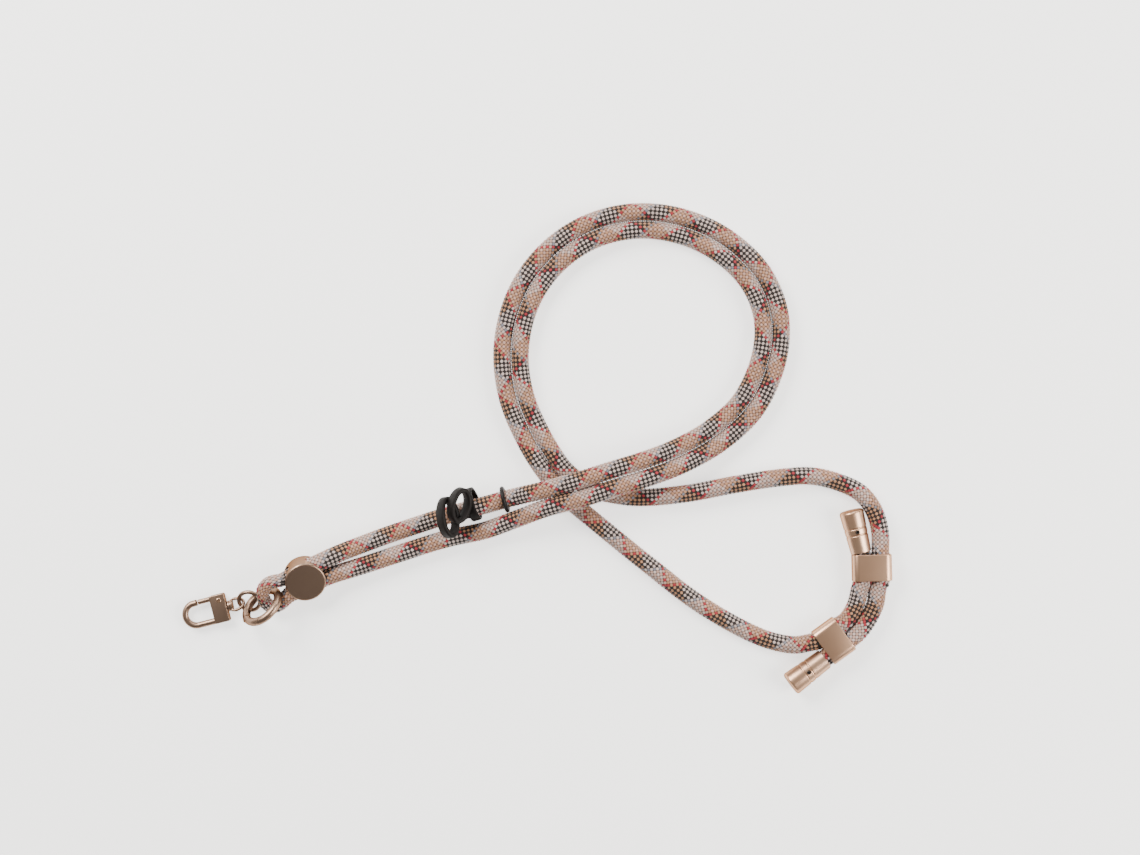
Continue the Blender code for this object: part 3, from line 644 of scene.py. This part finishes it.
def settle(obj, body, slot, *nodes):
    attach(obj, body)
    if nodes:
        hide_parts(*nodes)
    return obj


class Nodes:
    """Makes the shader nodes of one material."""

    def __init__(self, name, metallic=0.0, roughness=0.5):
        self.material = bpy.data.materials.new(name)
        self.material.use_nodes = True
        self.tree = self.material.node_tree
        self.shader = self.tree.nodes["Principled BSDF"]
        self.shader.inputs["Metallic"].default_value = metallic
        self.shader.inputs["Roughness"].default_value = roughness

    def link(self, output, target):
        self.tree.links.new(output, target)

    def node(self, kind, **settings):
        made = self.tree.nodes.new(kind)
        for name, value in settings.items():
            setattr(made, name, value)
        return made

    def math(self, operation, first, second=None, third=None):
        made = self.node("ShaderNodeMath", operation=operation)
        for i, value in enumerate((first, second, third)):
            if value is None:
                continue
            if isinstance(value, (int, float)):
                made.inputs[i].default_value = value
            else:
                self.link(value, made.inputs[i])
        return made.outputs[0]

    def place(self, scale=(1, 1, 1)):
        """Coordinates on the piece itself, stretched by scale."""
        coordinates = self.node("ShaderNodeTexCoord")
        mapping = self.node("ShaderNodeMapping")
        mapping.inputs["Scale"].default_value = scale
        self.link(coordinates.outputs["Object"], mapping.inputs["Vector"])
        return mapping.outputs["Vector"]

    def noise(self, scale, detail=2.0, stretch=(1, 1, 1)):
        made = self.node("ShaderNodeTexNoise")
        made.inputs["Scale"].default_value = scale
        made.inputs["Detail"].default_value = detail
        self.link(self.place(stretch), made.inputs["Vector"])
        return made.outputs["Fac"]

    def ramp(self, value, low, high, start=0.0, end=1.0):
        """A value between start and end turned into one between low and high."""
        made = self.node("ShaderNodeMapRange")
        self.link(value, made.inputs["Value"])
        made.inputs["From Min"].default_value = start
        made.inputs["From Max"].default_value = end
        made.inputs["To Min"].default_value = low
        made.inputs["To Max"].default_value = high
        return made.outputs["Result"]

    def mix(self, share, first, second, blend="MIX"):
        made = self.node("ShaderNodeMix", data_type="RGBA", blend_type=blend)
        for socket, value in (("Factor", share), ("A", first), ("B", second)):
            found = [s for s in made.inputs if s.name == socket and s.enabled][0]
            if isinstance(value, (int, float, tuple)):
                found.default_value = value
            else:
                self.link(value, found)
        return [s for s in made.outputs if s.enabled][0]

    def bump(self, height, distance, strength):
        made = self.node("ShaderNodeBump")
        made.inputs["Strength"].default_value = strength
        made.inputs["Distance"].default_value = distance
        self.link(height, made.inputs["Height"])
        self.link(made.outputs["Normal"], self.shader.inputs["Normal"])


def rgb(colour):
    return (*colour, 1.0)


def yarn_look():
    look = Nodes("braided_cord", roughness=0.82)
    attribute = look.node("ShaderNodeVertexColor", layer_name="yarn")
    uv = look.node("ShaderNodeUVMap", uv_map="cell")
    split = look.node("ShaderNodeSeparateXYZ")
    look.link(uv.outputs["UV"], split.inputs["Vector"])
    along = look.math("MULTIPLY_ADD", split.outputs["X"], 2.0, -1.0)
    across = look.math("MULTIPLY_ADD", split.outputs["Y"], 2.0, -1.0)
    side = look.math("POWER", look.math("ABSOLUTE", across), 2.4)
    end = look.math("POWER", look.math("ABSOLUTE", along), 3.0)
    crown = look.math("SUBTRACT", look.math("SUBTRACT", 1.0, side), look.math("MULTIPLY", end, 0.7))
    # Four or five plies a yarn, slightly slanted, and fine fibres that break up their edges
    slanted = look.math("MULTIPLY_ADD", along, 0.10, across)
    ply = look.math("SINE", look.math("MULTIPLY", slanted, 14.0))
    fibres = look.noise(5200.0, 3.0)
    height = look.math("MULTIPLY_ADD", ply, 0.14, crown)
    height = look.math("MULTIPLY_ADD", fibres, 0.35, height)
    look.bump(height, 0.16 * MM, 0.9)
    # Painted shade: each cell's colour darkens towards its edges, standing in for the shade in the gaps where
    # the yarns meet
    gap = look.ramp(crown, 0.16, 1.0, -0.1, 0.85)
    # Random fibre streaks of tone, with painted shade from the ply term: each ply's crest lighter and the
    # groove between plies darker
    streak = look.math("MULTIPLY_ADD", fibres, 0.8, look.math("MULTIPLY", ply, 0.10))
    streak = look.ramp(streak, 0.82, 1.12, 0.2, 0.65)
    shade = look.math("MULTIPLY", gap, streak)
    grey = look.node("ShaderNodeCombineColor")
    for channel in ("Red", "Green", "Blue"):
        look.link(shade, grey.inputs[channel])
    colour = look.mix(1.0, attribute.outputs["Color"], grey.outputs["Color"], "MULTIPLY")
    look.link(colour, look.shader.inputs["Base Color"])
    look.shader.inputs["Sheen Weight"].default_value = 0.25
    look.shader.inputs["Sheen Roughness"].default_value = 0.5
    look.shader.inputs["Specular IOR Level"].default_value = 0.25
    return look.material


# Each colour with a paler one, linear: for the metals a painted highlight on their edges, for the silicone
# and rubber their dusty places
ROSE = ((0.58, 0.35, 0.225), (0.70, 0.47, 0.33))
CHAMPAGNE = ((0.30, 0.20, 0.145), (0.42, 0.285, 0.205))
COPPER = ((0.50, 0.30, 0.19), (0.75, 0.50, 0.34))
STEEL = ((0.035, 0.030, 0.028), (0.20, 0.16, 0.13))
SILICONE = ((0.005, 0.0035, 0.003), (0.009, 0.007, 0.0065))
RUBBER = ((0.008, 0.006, 0.006), (0.014, 0.012, 0.012))
# How the plating reflects at a glancing angle, duller and browner than head on
METAL_EDGE_TINT = (0.30, 0.20, 0.15, 1.0)
METAL_GRAIN = 0.012 * MM


def metal_look(name, colours, roughness, stretch):
    """Plated metal: fine brushing along one way, cloudy gloss, and a painted highlight in a paler colour
    along its convex edges.
    """
    colour, rim_highlight = colours
    look = Nodes(name, metallic=1.0, roughness=roughness)
    brushing = look.noise(900.0, 4.0, stretch)
    cloud = look.noise(260.0, 3.0)
    speck = look.noise(4200.0, 2.0)
    # Painted highlight: convex edges, found by pointiness, take the paler colour in place of the bright light
    # their rims catch
    edge = look.ramp(look.node("ShaderNodeNewGeometry").outputs["Pointiness"], 0.0, 1.0, 0.52, 0.60)
    tint = look.mix(look.ramp(cloud, 0.0, 0.30, 0.25, 0.85), rgb(colour), rgb([c * 0.88 for c in colour]))
    tint = look.mix(edge, tint, rgb(rim_highlight))
    look.link(tint, look.shader.inputs["Base Color"])
    rough = look.math("MULTIPLY_ADD", brushing, 0.12, roughness - 0.06)
    rough = look.math("MULTIPLY_ADD", look.math("SUBTRACT", cloud, 0.5), 0.05, rough)
    look.link(rough, look.shader.inputs["Roughness"])
    look.bump(look.math("MULTIPLY_ADD", speck, 0.2, brushing), METAL_GRAIN, 0.12)
    look.shader.inputs["Specular Tint"].default_value = METAL_EDGE_TINT
    return look.material


def soft_look(name, colours, roughness, grain):
    """Moulded silicone or rubber: dusty matt skin with a faint grain."""
    colour, dusty = colours
    look = Nodes(name, roughness=roughness)
    dust = look.noise(420.0, 4.0)
    grains = look.noise(3800.0, 2.0)
    tint = look.mix(look.ramp(dust, 0.0, 1.0, 0.40, 0.72), rgb(colour), rgb(dusty))
    look.link(tint, look.shader.inputs["Base Color"])
    look.link(look.ramp(dust, roughness - 0.08, roughness + 0.12, 0.3, 0.7), look.shader.inputs["Roughness"])
    look.bump(look.math("MULTIPLY_ADD", dust, 1.5, grains), grain, 0.6)
    look.shader.inputs["Specular IOR Level"].default_value = 0.16
    return look.material


def rim_steps(half, radius):
    """(place along, depth under the skin) round a softened rim at each end, left one first."""
    turns = [math.radians(t) for t in (0, 23, 45, 68, 90)]
    left = [(-half + radius * (1 - math.cos(t)), radius * (1 - math.sin(t))) for t in turns]
    return left + [(-x, depth) for x, depth in reversed(left)]


def sleeve_shape():
    """A rounded box with softened rims and a bore for both strands."""
    rings = []
    for x, inset in rim_steps(SLEEVE_LENGTH / 2, SLEEVE_RIM):
        width = SLEEVE_WIDTH - 2 * inset
        outline = rounded_outline(width, SLEEVE_HEIGHT - 2 * inset, SLEEVE_CORNER - inset, 8)
        rings.append([Vector((x, p.x, p.y)) for p in outline])
    for x, outset in reversed(rim_steps(SLEEVE_LENGTH / 2, SLEEVE_BORE_RIM)):
        across = BORE + 2 * outset
        outline = rounded_outline(2 * LANE + across, across, across / 2 - NEARLY, 8)
        rings.append([Vector((x, p.x, p.y)) for p in outline])
    return rings_to_mesh(rings, closed=True)


def cap_side(share):
    return (CAP_MOUTH_D + (CAP_HEAD_D - CAP_MOUTH_D) * share) / 2


def cap_shape():
    """A tapered cup with two turned grooves, a rounded head and a bore, all in one turned profile."""
    lip = (cap_side(0) - BORE / 2) * 0.3
    profile = [(CAP_BORE_DEPTH, CAP_BORE_END), (CAP_BORE_DEPTH, BORE / 2 - MM)]
    profile += [(CAP_BORE_DEPTH - MM, BORE / 2)]
    profile += [(lip, BORE / 2), (0.0, BORE / 2 + lip), (0.0, cap_side(0) - lip), (lip, cap_side(0))]
    for share in CAP_GROOVES:
        for step in range(-4, 5):
            x = CAP_LENGTH * share + step / 4 * CAP_GROOVE_WIDTH
            dip = math.cos(step / 4 * math.pi / 2) ** 0.6
            profile.append((x, cap_side(x / CAP_LENGTH) - dip * CAP_GROOVE_DEPTH))
    shoulder = CAP_LENGTH - CAP_RIM
    widest = cap_side(shoulder / CAP_LENGTH)
    for turn in range(0, 91, 10):
        angle = math.radians(turn)
        x = shoulder + CAP_RIM * math.sin(angle)
        profile.append((min(x, CAP_LENGTH - 2 * NEARLY), widest - CAP_RIM * (1 - math.cos(angle))))
    profile.append((CAP_LENGTH, END_FACE))
    return turned(profile, 96)


def screw_place(mouth, angle):
    return cap_place(mouth, angle) @ Matrix.Translation(Vector((CAP_LENGTH * CAP_SCREW_AT, 0, 0))) @ UPRIGHT


def make_cap(name, mouth, angle, look, screw_look):
    place = cap_place(mouth, angle)
    cap = shape(name + "_shell", cap_shape(), look, place)
    side = cap_side(CAP_SCREW_AT)
    radius = (SCREW_D + PLAY) / 2
    upright = screw_place(mouth, angle)
    hole = shape("hole", turned([(side - SCREW_HOLE_DEPTH, radius), (side + MM, radius)], 32), look, upright)
    carve(cap, [hole])
    settle(cap, "strap", "rose_metal", name)
    # The set screw: a dark plug with a softened rim and a six-sided socket
    low = BORE / 2 + PLAY / 3
    top = side - SCREW_SUNK
    half = SCREW_D / 2 - SCREW_SLACK
    plug = turned([(low, half), (top - SCREW_RIM_HEIGHT, half), (top, half - SCREW_RIM)], 32)
    screw = shape(name + "_set_screw", plug, screw_look, upright)
    hexagon = turned([(top - SOCKET_DEPTH, SOCKET_RADIUS), (top + MM, SOCKET_RADIUS)], 6)
    socket = shape("socket", hexagon, screw_look, upright)
    carve(screw, [socket])
    settle(screw, "strap", "dark_screw", "set_screw" + name[len("end_cap"):])


def make_disc(look):
    half = DISC_THICKNESS / 2
    radius = DISC_D / 2
    profile = [(-half, END_FACE), (-half, radius - DISC_EDGE)]
    for turn in range(10, 91, 10):
        angle = math.radians(turn)
        x = -half + DISC_EDGE * (1 - math.cos(angle))
        profile.append((x, radius - DISC_EDGE * (1 - math.sin(angle))))
    profile += [(-x, r) for x, r in reversed(profile)]
    disc = shape("stopper_disc", turned(profile, 128), look, disc_place() @ UPRIGHT, sharp=50)
    inside = rounded_outline(2 * LANE + BORE, BORE, BORE / 2 - NEARLY, 12)
    bore = shape("bore", prism(inside, -radius - MM, radius + MM), look, disc_place())
    carve(disc, [bore])
    settle(disc, "strap", "champagne_metal", "disc_stopper")


def make_o_ring(look):
    route = metres(LEFT_UPPER)
    along = (route[-1] - route[-3]).normalized()
    place = Matrix.Translation(route[-2]) @ along.to_track_quat("Z", "Y").to_matrix().to_4x4()
    ring = arc_tube((BORE + O_RING_WIRE) / 2, O_RING_WIRE, 0, 360, 24, 96)
    settle(shape("round_keeper", ring, look, place), "strap", "black_rubber", "o_ring")


def band_loop(long_half, short_half, band, wall, steps):
    """A flat band with soft edges, bent to an oval about local Z, its width a little uneven."""
    edge = wall * 0.42
    section = [(p.x, p.y) for p in rounded_outline(wall, band, edge, 5)]
    rings = []
    for i in range(steps):
        angle = 2 * math.pi * i / steps
        middle = Vector((short_half * math.cos(angle), long_half * math.sin(angle), 0))
        out = Vector((math.cos(angle) / short_half, math.sin(angle) / long_half, 0)).normalized()
        swell = 1 + 0.05 * math.sin(2 * angle + 0.6) + 0.03 * math.sin(5 * angle)
        rings.append([middle + out * a + Vector((0, 0, b * swell)) for a, b in section])
    return rings_to_mesh(rings, closed=True)


def make_keeper(look):
    for number, loop in enumerate(KEEPER_LOOPS):
        long_half, short_half = (LOOP_HALF * share for share in loop["half"])
        band_share, wall_share = loop["band_wall"]
        bm = band_loop(long_half, short_half, LOOP_BAND * band_share, LOOP_WALL * wall_share, 96)
        lean_angle, turn_angle = loop["lean_turn"]
        turn = Matrix.Rotation(math.radians(turn_angle), 4, "Z")
        lean = Matrix.Rotation(math.radians(lean_angle), 4, "Y")
        at = Vector(KEEPER_AT) + Vector(loop["at"]) * LOOP_HALF
        place = Matrix.Translation(at) @ turn @ lean
        made = shape(f"soft_keeper_loop_{number + 1}", bm, look, place, sharp=60)
        settle(made, "strap", "black_silicone", "silicone_keeper")


def box_shape(low, high):
    corners = ((low[0], low[1]), (high[0], low[1]), (high[0], high[1]), (low[0], high[1]))
    return rings_to_mesh([[Vector((x, y, z)) for x, y in corners] for z in (low[2], high[2])], closed=False)


def make_gate_ring(look, pin_look):
    """The thick ring's body, its sprung gate with a slanted seam, and the pin that the gate turns on."""
    place = gate_ring_place()
    middle = (GATE_RING_D - GATE_RING_WIRE) / 2
    wire = GATE_RING_WIRE
    gap = math.degrees(PLAY / middle)
    cheek = math.degrees(HINGE_CHEEK / middle)
    hinge = math.radians(GATE_HINGE)
    hub = place @ Matrix.Translation(Vector((middle * math.cos(hinge), middle * math.sin(hinge), 0)))
    leaf_place = hub @ Matrix.Rotation(hinge, 4, "Z")
    slot_half = HINGE_TONGUE / 2 + PLAY
    body_bm = arc_tube(
        middle, wire, GATE_HINGE - cheek, GATE_FROM - 1.3 * gap + 360, 36, 160, slants=(0.0, SEAM_SLANT)
    )
    body = shape("gate_ring_body", body_bm, look, place)
    low = (-wire, -HINGE_TONGUE_ROOT, -slot_half)
    high = (wire, HINGE_CHEEK + PLAY, slot_half)
    carve(body, [shape("slot", box_shape(low, high), look, leaf_place)])
    settle(body, "strap", "champagne_metal", "ring_body")
    gate_bm = arc_tube(
        middle, wire, GATE_FROM, GATE_HINGE - cheek - gap, 36, 64, (SEAM_SLANT, HEEL_SLANT), only_inside=True
    )
    settle(shape("gate_ring_gate", gate_bm, look, place), "ring_gate", "champagne_metal", "ring_gate")
    tongue = [Vector((x, -HINGE_TONGUE_ROOT, 0)) for x in (-HINGE_TONGUE_REACH, HINGE_TONGUE_REACH)]
    tongue += arc_points((0, 0), HINGE_TONGUE_REACH, 0, 180, 24)
    leaf_half = HINGE_TONGUE / 2
    leaf_rings = [[Vector((p.x, p.y, z)) for p in tongue] for z in (-leaf_half, leaf_half)]
    leaf_bm = rings_to_mesh(leaf_rings, closed=False)
    settle(shape("gate_ring_tongue", leaf_bm, look, leaf_place), "ring_gate", "champagne_metal")
    pin_half = wire / 2 - HINGE_PIN_SHORT
    rivet = [(-pin_half, HINGE_PIN_FACE), (-pin_half + HINGE_PIN_RIM, HINGE_PIN_D / 2)]
    rivet += [(pin_half - HINGE_PIN_RIM, HINGE_PIN_D / 2), (pin_half, HINGE_PIN_FACE)]
    settle(shape("gate_ring_pin", turned(rivet, 32), pin_look, hub @ UPRIGHT), "strap", "champagne_metal")


def make_jump_ring(look):
    turn = Matrix.Rotation(math.radians(JUMP_RING_RISE_TOWARDS), 4, "Z")
    lean = Matrix.Rotation(math.radians(-JUMP_RING_TILT), 4, "Y")
    place = Matrix.Translation(Vector(JUMP_RING_AT)) @ turn @ lean
    middle = (JUMP_RING_D - JUMP_RING_WIRE) / 2
    ring = arc_tube(middle, JUMP_RING_WIRE, 0, 360, 24, 96)
    settle(shape("thin_ring", ring, look, place), "strap", "champagne_metal", "jump_ring")


def clasp_place():
    return placed((CLASP_AT[0], CLASP_AT[1], BLOCK_THICKNESS / 2), CLASP_ANGLE)


def block_shape():
    """The clasp's block: a slab with rounded corners and softened upper and lower edges."""
    half = BLOCK_THICKNESS / 2
    outline = rounded_outline(BLOCK_LENGTH, CLASP_WIDTH, BLOCK_CORNER, 8)
    rings = []
    for z, inset in rim_steps(half, BLOCK_BEVEL):
        across = 1 - 2 * inset / CLASP_WIDTH
        length = 1 - 2 * inset / BLOCK_LENGTH
        rings.append([Vector((p.x * length - BLOCK_LENGTH / 2, p.y * across, z)) for p in outline])
    return rings_to_mesh(rings, closed=False)


def round_end(points, diameter, sides):
    """A round bar through the points, its two ends softened."""
    bm = path_tube(points, diameter, sides)
    rims = [e for e in bm.edges if max(len(f.verts) for f in e.link_faces) > 4]
    bmesh.ops.bevel(bm, geom=rims, offset=diameter * 0.12, segments=3, affect="EDGES")
    return bm


def make_clasp(look, copper):
    """The hook with its block and rivet, and the sprung gate bar."""
    place = clasp_place()
    side = (CLASP_WIDTH - CLASP_WIRE) / 2
    bend_x = -CLASP_LENGTH + CLASP_WIRE / 2 + side
    rivet = Vector((-RIVET_IN, CLASP_WIDTH / 2 - RIVET_IN, 0))
    gate_tip = rivet.x - CLASP_GATE_REACH
    line = [Vector((-BLOCK_LENGTH * 0.7, -side, 0)), Vector((bend_x, -side, 0))]
    line += arc_points((bend_x, 0), side, 270, 104, 48)[1:]
    line += [Vector((gate_tip - NOSE_GAP, side, 0))]
    hook = shape("clasp_hook_bar", round_end(line, CLASP_WIRE, 36), look, place)
    settle(hook, "clasp", "champagne_metal", "clasp_hook")
    block = shape("clasp_block", block_shape(), look, place)
    seat_half = CLASP_GATE_D / 2 + PLAY
    low = (-BLOCK_LENGTH - 2 * MM, rivet.y - SLOT_UNDER_RIVET, -seat_half)
    high = (rivet.x + SLOT_BEHIND_RIVET, CLASP_WIDTH / 2 + MM, seat_half)
    stem_radius = STEM_D / 2 + PLAY
    stem_hole = turned([(-STEM_LENGTH - PLAY, stem_radius), (MM, stem_radius)], 36)
    seat = shape("seat", box_shape(low, high), look, place)
    carve(block, [seat, shape("stem_hole", stem_hole, look, place)])
    settle(block, "clasp", "champagne_metal")
    rivet_place = place @ Matrix.Translation(rivet) @ UPRIGHT
    top = BLOCK_THICKNESS / 2
    head = RIVET_D / 2
    profile = [(-top + 0.1 * MM, RIVET_PIN_D / 2), (top - 0.3 * MM, RIVET_PIN_D / 2), (top - 0.3 * MM, head)]
    profile += [(top + 0.06 * MM, head), (top + 0.15 * MM, head * 0.9), (top + RIVET_PROUD, head * 0.66)]
    profile += [(top + RIVET_PROUD * 0.7, head * 0.5), (top + RIVET_PROUD * 0.7, head * 0.1)]
    settle(shape("clasp_rivet", turned(profile, 40), copper, rivet_place), "clasp", "champagne_metal")
    bar = [Vector((gate_tip, side, 0)), Vector((rivet.x - CLASP_GATE_CRANK, side, 0)), rivet]
    gate = shape("clasp_gate_bar", round_end(bar, CLASP_GATE_D, 36), look, place)
    settle(gate, "clasp_gate", "champagne_metal", "clasp_gate")
    half = CLASP_GATE_D / 2
    barrel = turned([(-half, KNUCKLE_D / 2), (half, KNUCKLE_D / 2)], 40)
    knuckle = shape("clasp_gate_knuckle", barrel, look, rivet_place)
    settle(knuckle, "clasp_gate", "champagne_metal")


def make_swivel(look):
    """The stem, the grooved collar and the eye that the clasp turns on."""
    place = clasp_place() @ Matrix.Rotation(math.radians(EYE_ROLL), 4, "X")
    end = PLAY + COLLAR_LENGTH
    radius = COLLAR_D / 2
    profile = [(-STEM_LENGTH, STEM_D / 2), (PLAY, STEM_D / 2)]
    profile += [(PLAY, radius - COLLAR_RIM), (PLAY + COLLAR_RIM, radius)]
    profile += [(PLAY + along, radius - depth) for along, depth in COLLAR_GROOVE]
    profile += [(end - back, radius - depth) for back, depth in COLLAR_FAR_RIM]
    collar = shape("swivel_collar", turned(profile, 64), look, place, sharp=28)
    settle(collar, "strap", "champagne_metal", "swivel_eye")
    near = end - EYE_WIRE * 0.3
    reach = end + EYE_LENGTH - EYE_WIRE / 2 - near
    half = (EYE_WIDTH - EYE_WIRE) / 2
    line = [Vector((near, half * 0.9, 0)), Vector((near, -half * 0.9, 0))]
    for i in range(37):
        angle = math.radians(-90 + 180 * i / 36)
        line.append(Vector((near + reach * (0.25 + 0.75 * math.cos(angle)), half * math.sin(angle), 0)))
    eye = shape("swivel_loop", path_tube(line, EYE_WIRE, 24, closed=True), look, place)
    settle(eye, "strap", "champagne_metal")


# The camera looks straight down; FRAME_WIDTH is what it sees across at CAMERA_LEVEL above the table
CAMERA_OVER = (15.2 * MM, 73.6 * MM)
CAMERA_LEVEL = 4.0 * MM
CAMERA_HEIGHT = 1.0
FRAME_WIDTH = 518.1 * MM
SENSOR_WIDTH = 36.0
PAPER_GLOW = 1.5
STUDIO_GLOW = 0.30
TABLE_HALF = 3.0
TABLE_DROP = 0.2 * MM
# Name, place, width, depth and watts of each soft light
STUDIO_LIGHTS = (
    ("key", (-0.75, 0.75, 0.85), 0.8, 0.6, 30.0),
    ("right", (1.0, -0.1, 0.75), 0.7, 0.7, 20.0),
    ("back", (0.3, 1.2, 0.6), 1.0, 0.4, 10.0),
)


def make_room():
    """A pale table top, a soft grey studio and the camera straight above."""
    corners = ((-1, -1), (1, -1), (1, 1), (-1, 1))
    bm = bmesh.new()
    bm.faces.new([bm.verts.new((x * TABLE_HALF, y * TABLE_HALF, -TABLE_DROP)) for x, y in corners])
    paper = Nodes("paper", roughness=0.9)
    paper.shader.inputs["Base Color"].default_value = (0.86, 0.86, 0.85, 1.0)
    paper.shader.inputs["Specular IOR Level"].default_value = 0.1
    paper.shader.inputs["Emission Color"].default_value = (1.0, 1.0, 0.99, 1.0)
    paper.shader.inputs["Emission Strength"].default_value = PAPER_GLOW
    floor = shape("table_top", bm, paper.material)

    world = bpy.data.worlds.new("studio")
    bpy.context.scene.world = world
    world.use_nodes = True
    background = world.node_tree.nodes["Background"]
    background.inputs["Color"].default_value = (1.0, 0.985, 0.96, 1.0)
    background.inputs["Strength"].default_value = STUDIO_GLOW

    for name, at, size_x, size_y, watts in STUDIO_LIGHTS:
        data = bpy.data.lights.new(name, "AREA")
        data.shape = "RECTANGLE"
        data.size = size_x
        data.size_y = size_y
        data.energy = watts
        data.color = (1.0, 0.97, 0.93)
        lamp = bpy.data.objects.new(name, data)
        aim = Vector((0, 0.06, 0)) - Vector(at)
        lamp.matrix_world = Matrix.Translation(Vector(at)) @ aim.to_track_quat("-Z", "Y").to_matrix().to_4x4()
        bpy.context.scene.collection.objects.link(lamp)

    view = bpy.data.cameras.new("camera")
    view.sensor_width = SENSOR_WIDTH
    view.lens = SENSOR_WIDTH * CAMERA_HEIGHT / FRAME_WIDTH
    view.clip_start = 0.01
    camera = bpy.data.objects.new("camera", view)
    camera.location = (CAMERA_OVER[0], CAMERA_OVER[1], CAMERA_HEIGHT + CAMERA_LEVEL)
    bpy.context.scene.collection.objects.link(camera)
    bpy.context.scene.camera = camera


def main():
    make_room()
    mesh, line, length = braided_rope()
    rope = add_object("braided_rope", mesh, yarn_look())
    settle(rope, "strap", "braided_cord", "rope")

    rose = metal_look("rose_metal", ROSE, 0.36, (1, 14, 14))
    satin = metal_look("champagne_metal", CHAMPAGNE, 0.36, (6, 6, 1))
    copper = metal_look("copper_rivet", COPPER, 0.26, (4, 4, 4))
    steel = metal_look("dark_screw", STEEL, 0.45, (3, 3, 3))
    silicone = soft_look("black_silicone", SILICONE, 0.55, 0.02 * MM)
    rubber = soft_look("black_rubber", RUBBER, 0.40, 0.01 * MM)

    for name, at, angle in (
        ("sleeve_upper", SLEEVE_UPPER, SLEEVE_UPPER_ANGLE),
        ("sleeve_lower", SLEEVE_LOWER, SLEEVE_LOWER_ANGLE),
    ):
        sleeve = shape(name + "_shell", sleeve_shape(), rose, sleeve_place(at, angle), sharp=50)
        settle(sleeve, "strap", "rose_metal", name)
    make_cap("end_cap_upper", UPPER_CAP_MOUTH, UPPER_CAP_ANGLE, rose, steel)
    make_cap("end_cap_lower", LOWER_CAP_MOUTH, LOWER_CAP_ANGLE, rose, steel)
    make_disc(satin)
    make_o_ring(rubber)
    make_keeper(silicone)
    make_gate_ring(satin, copper)
    make_jump_ring(satin)
    make_clasp(satin, copper)
    make_swivel(satin)


main()
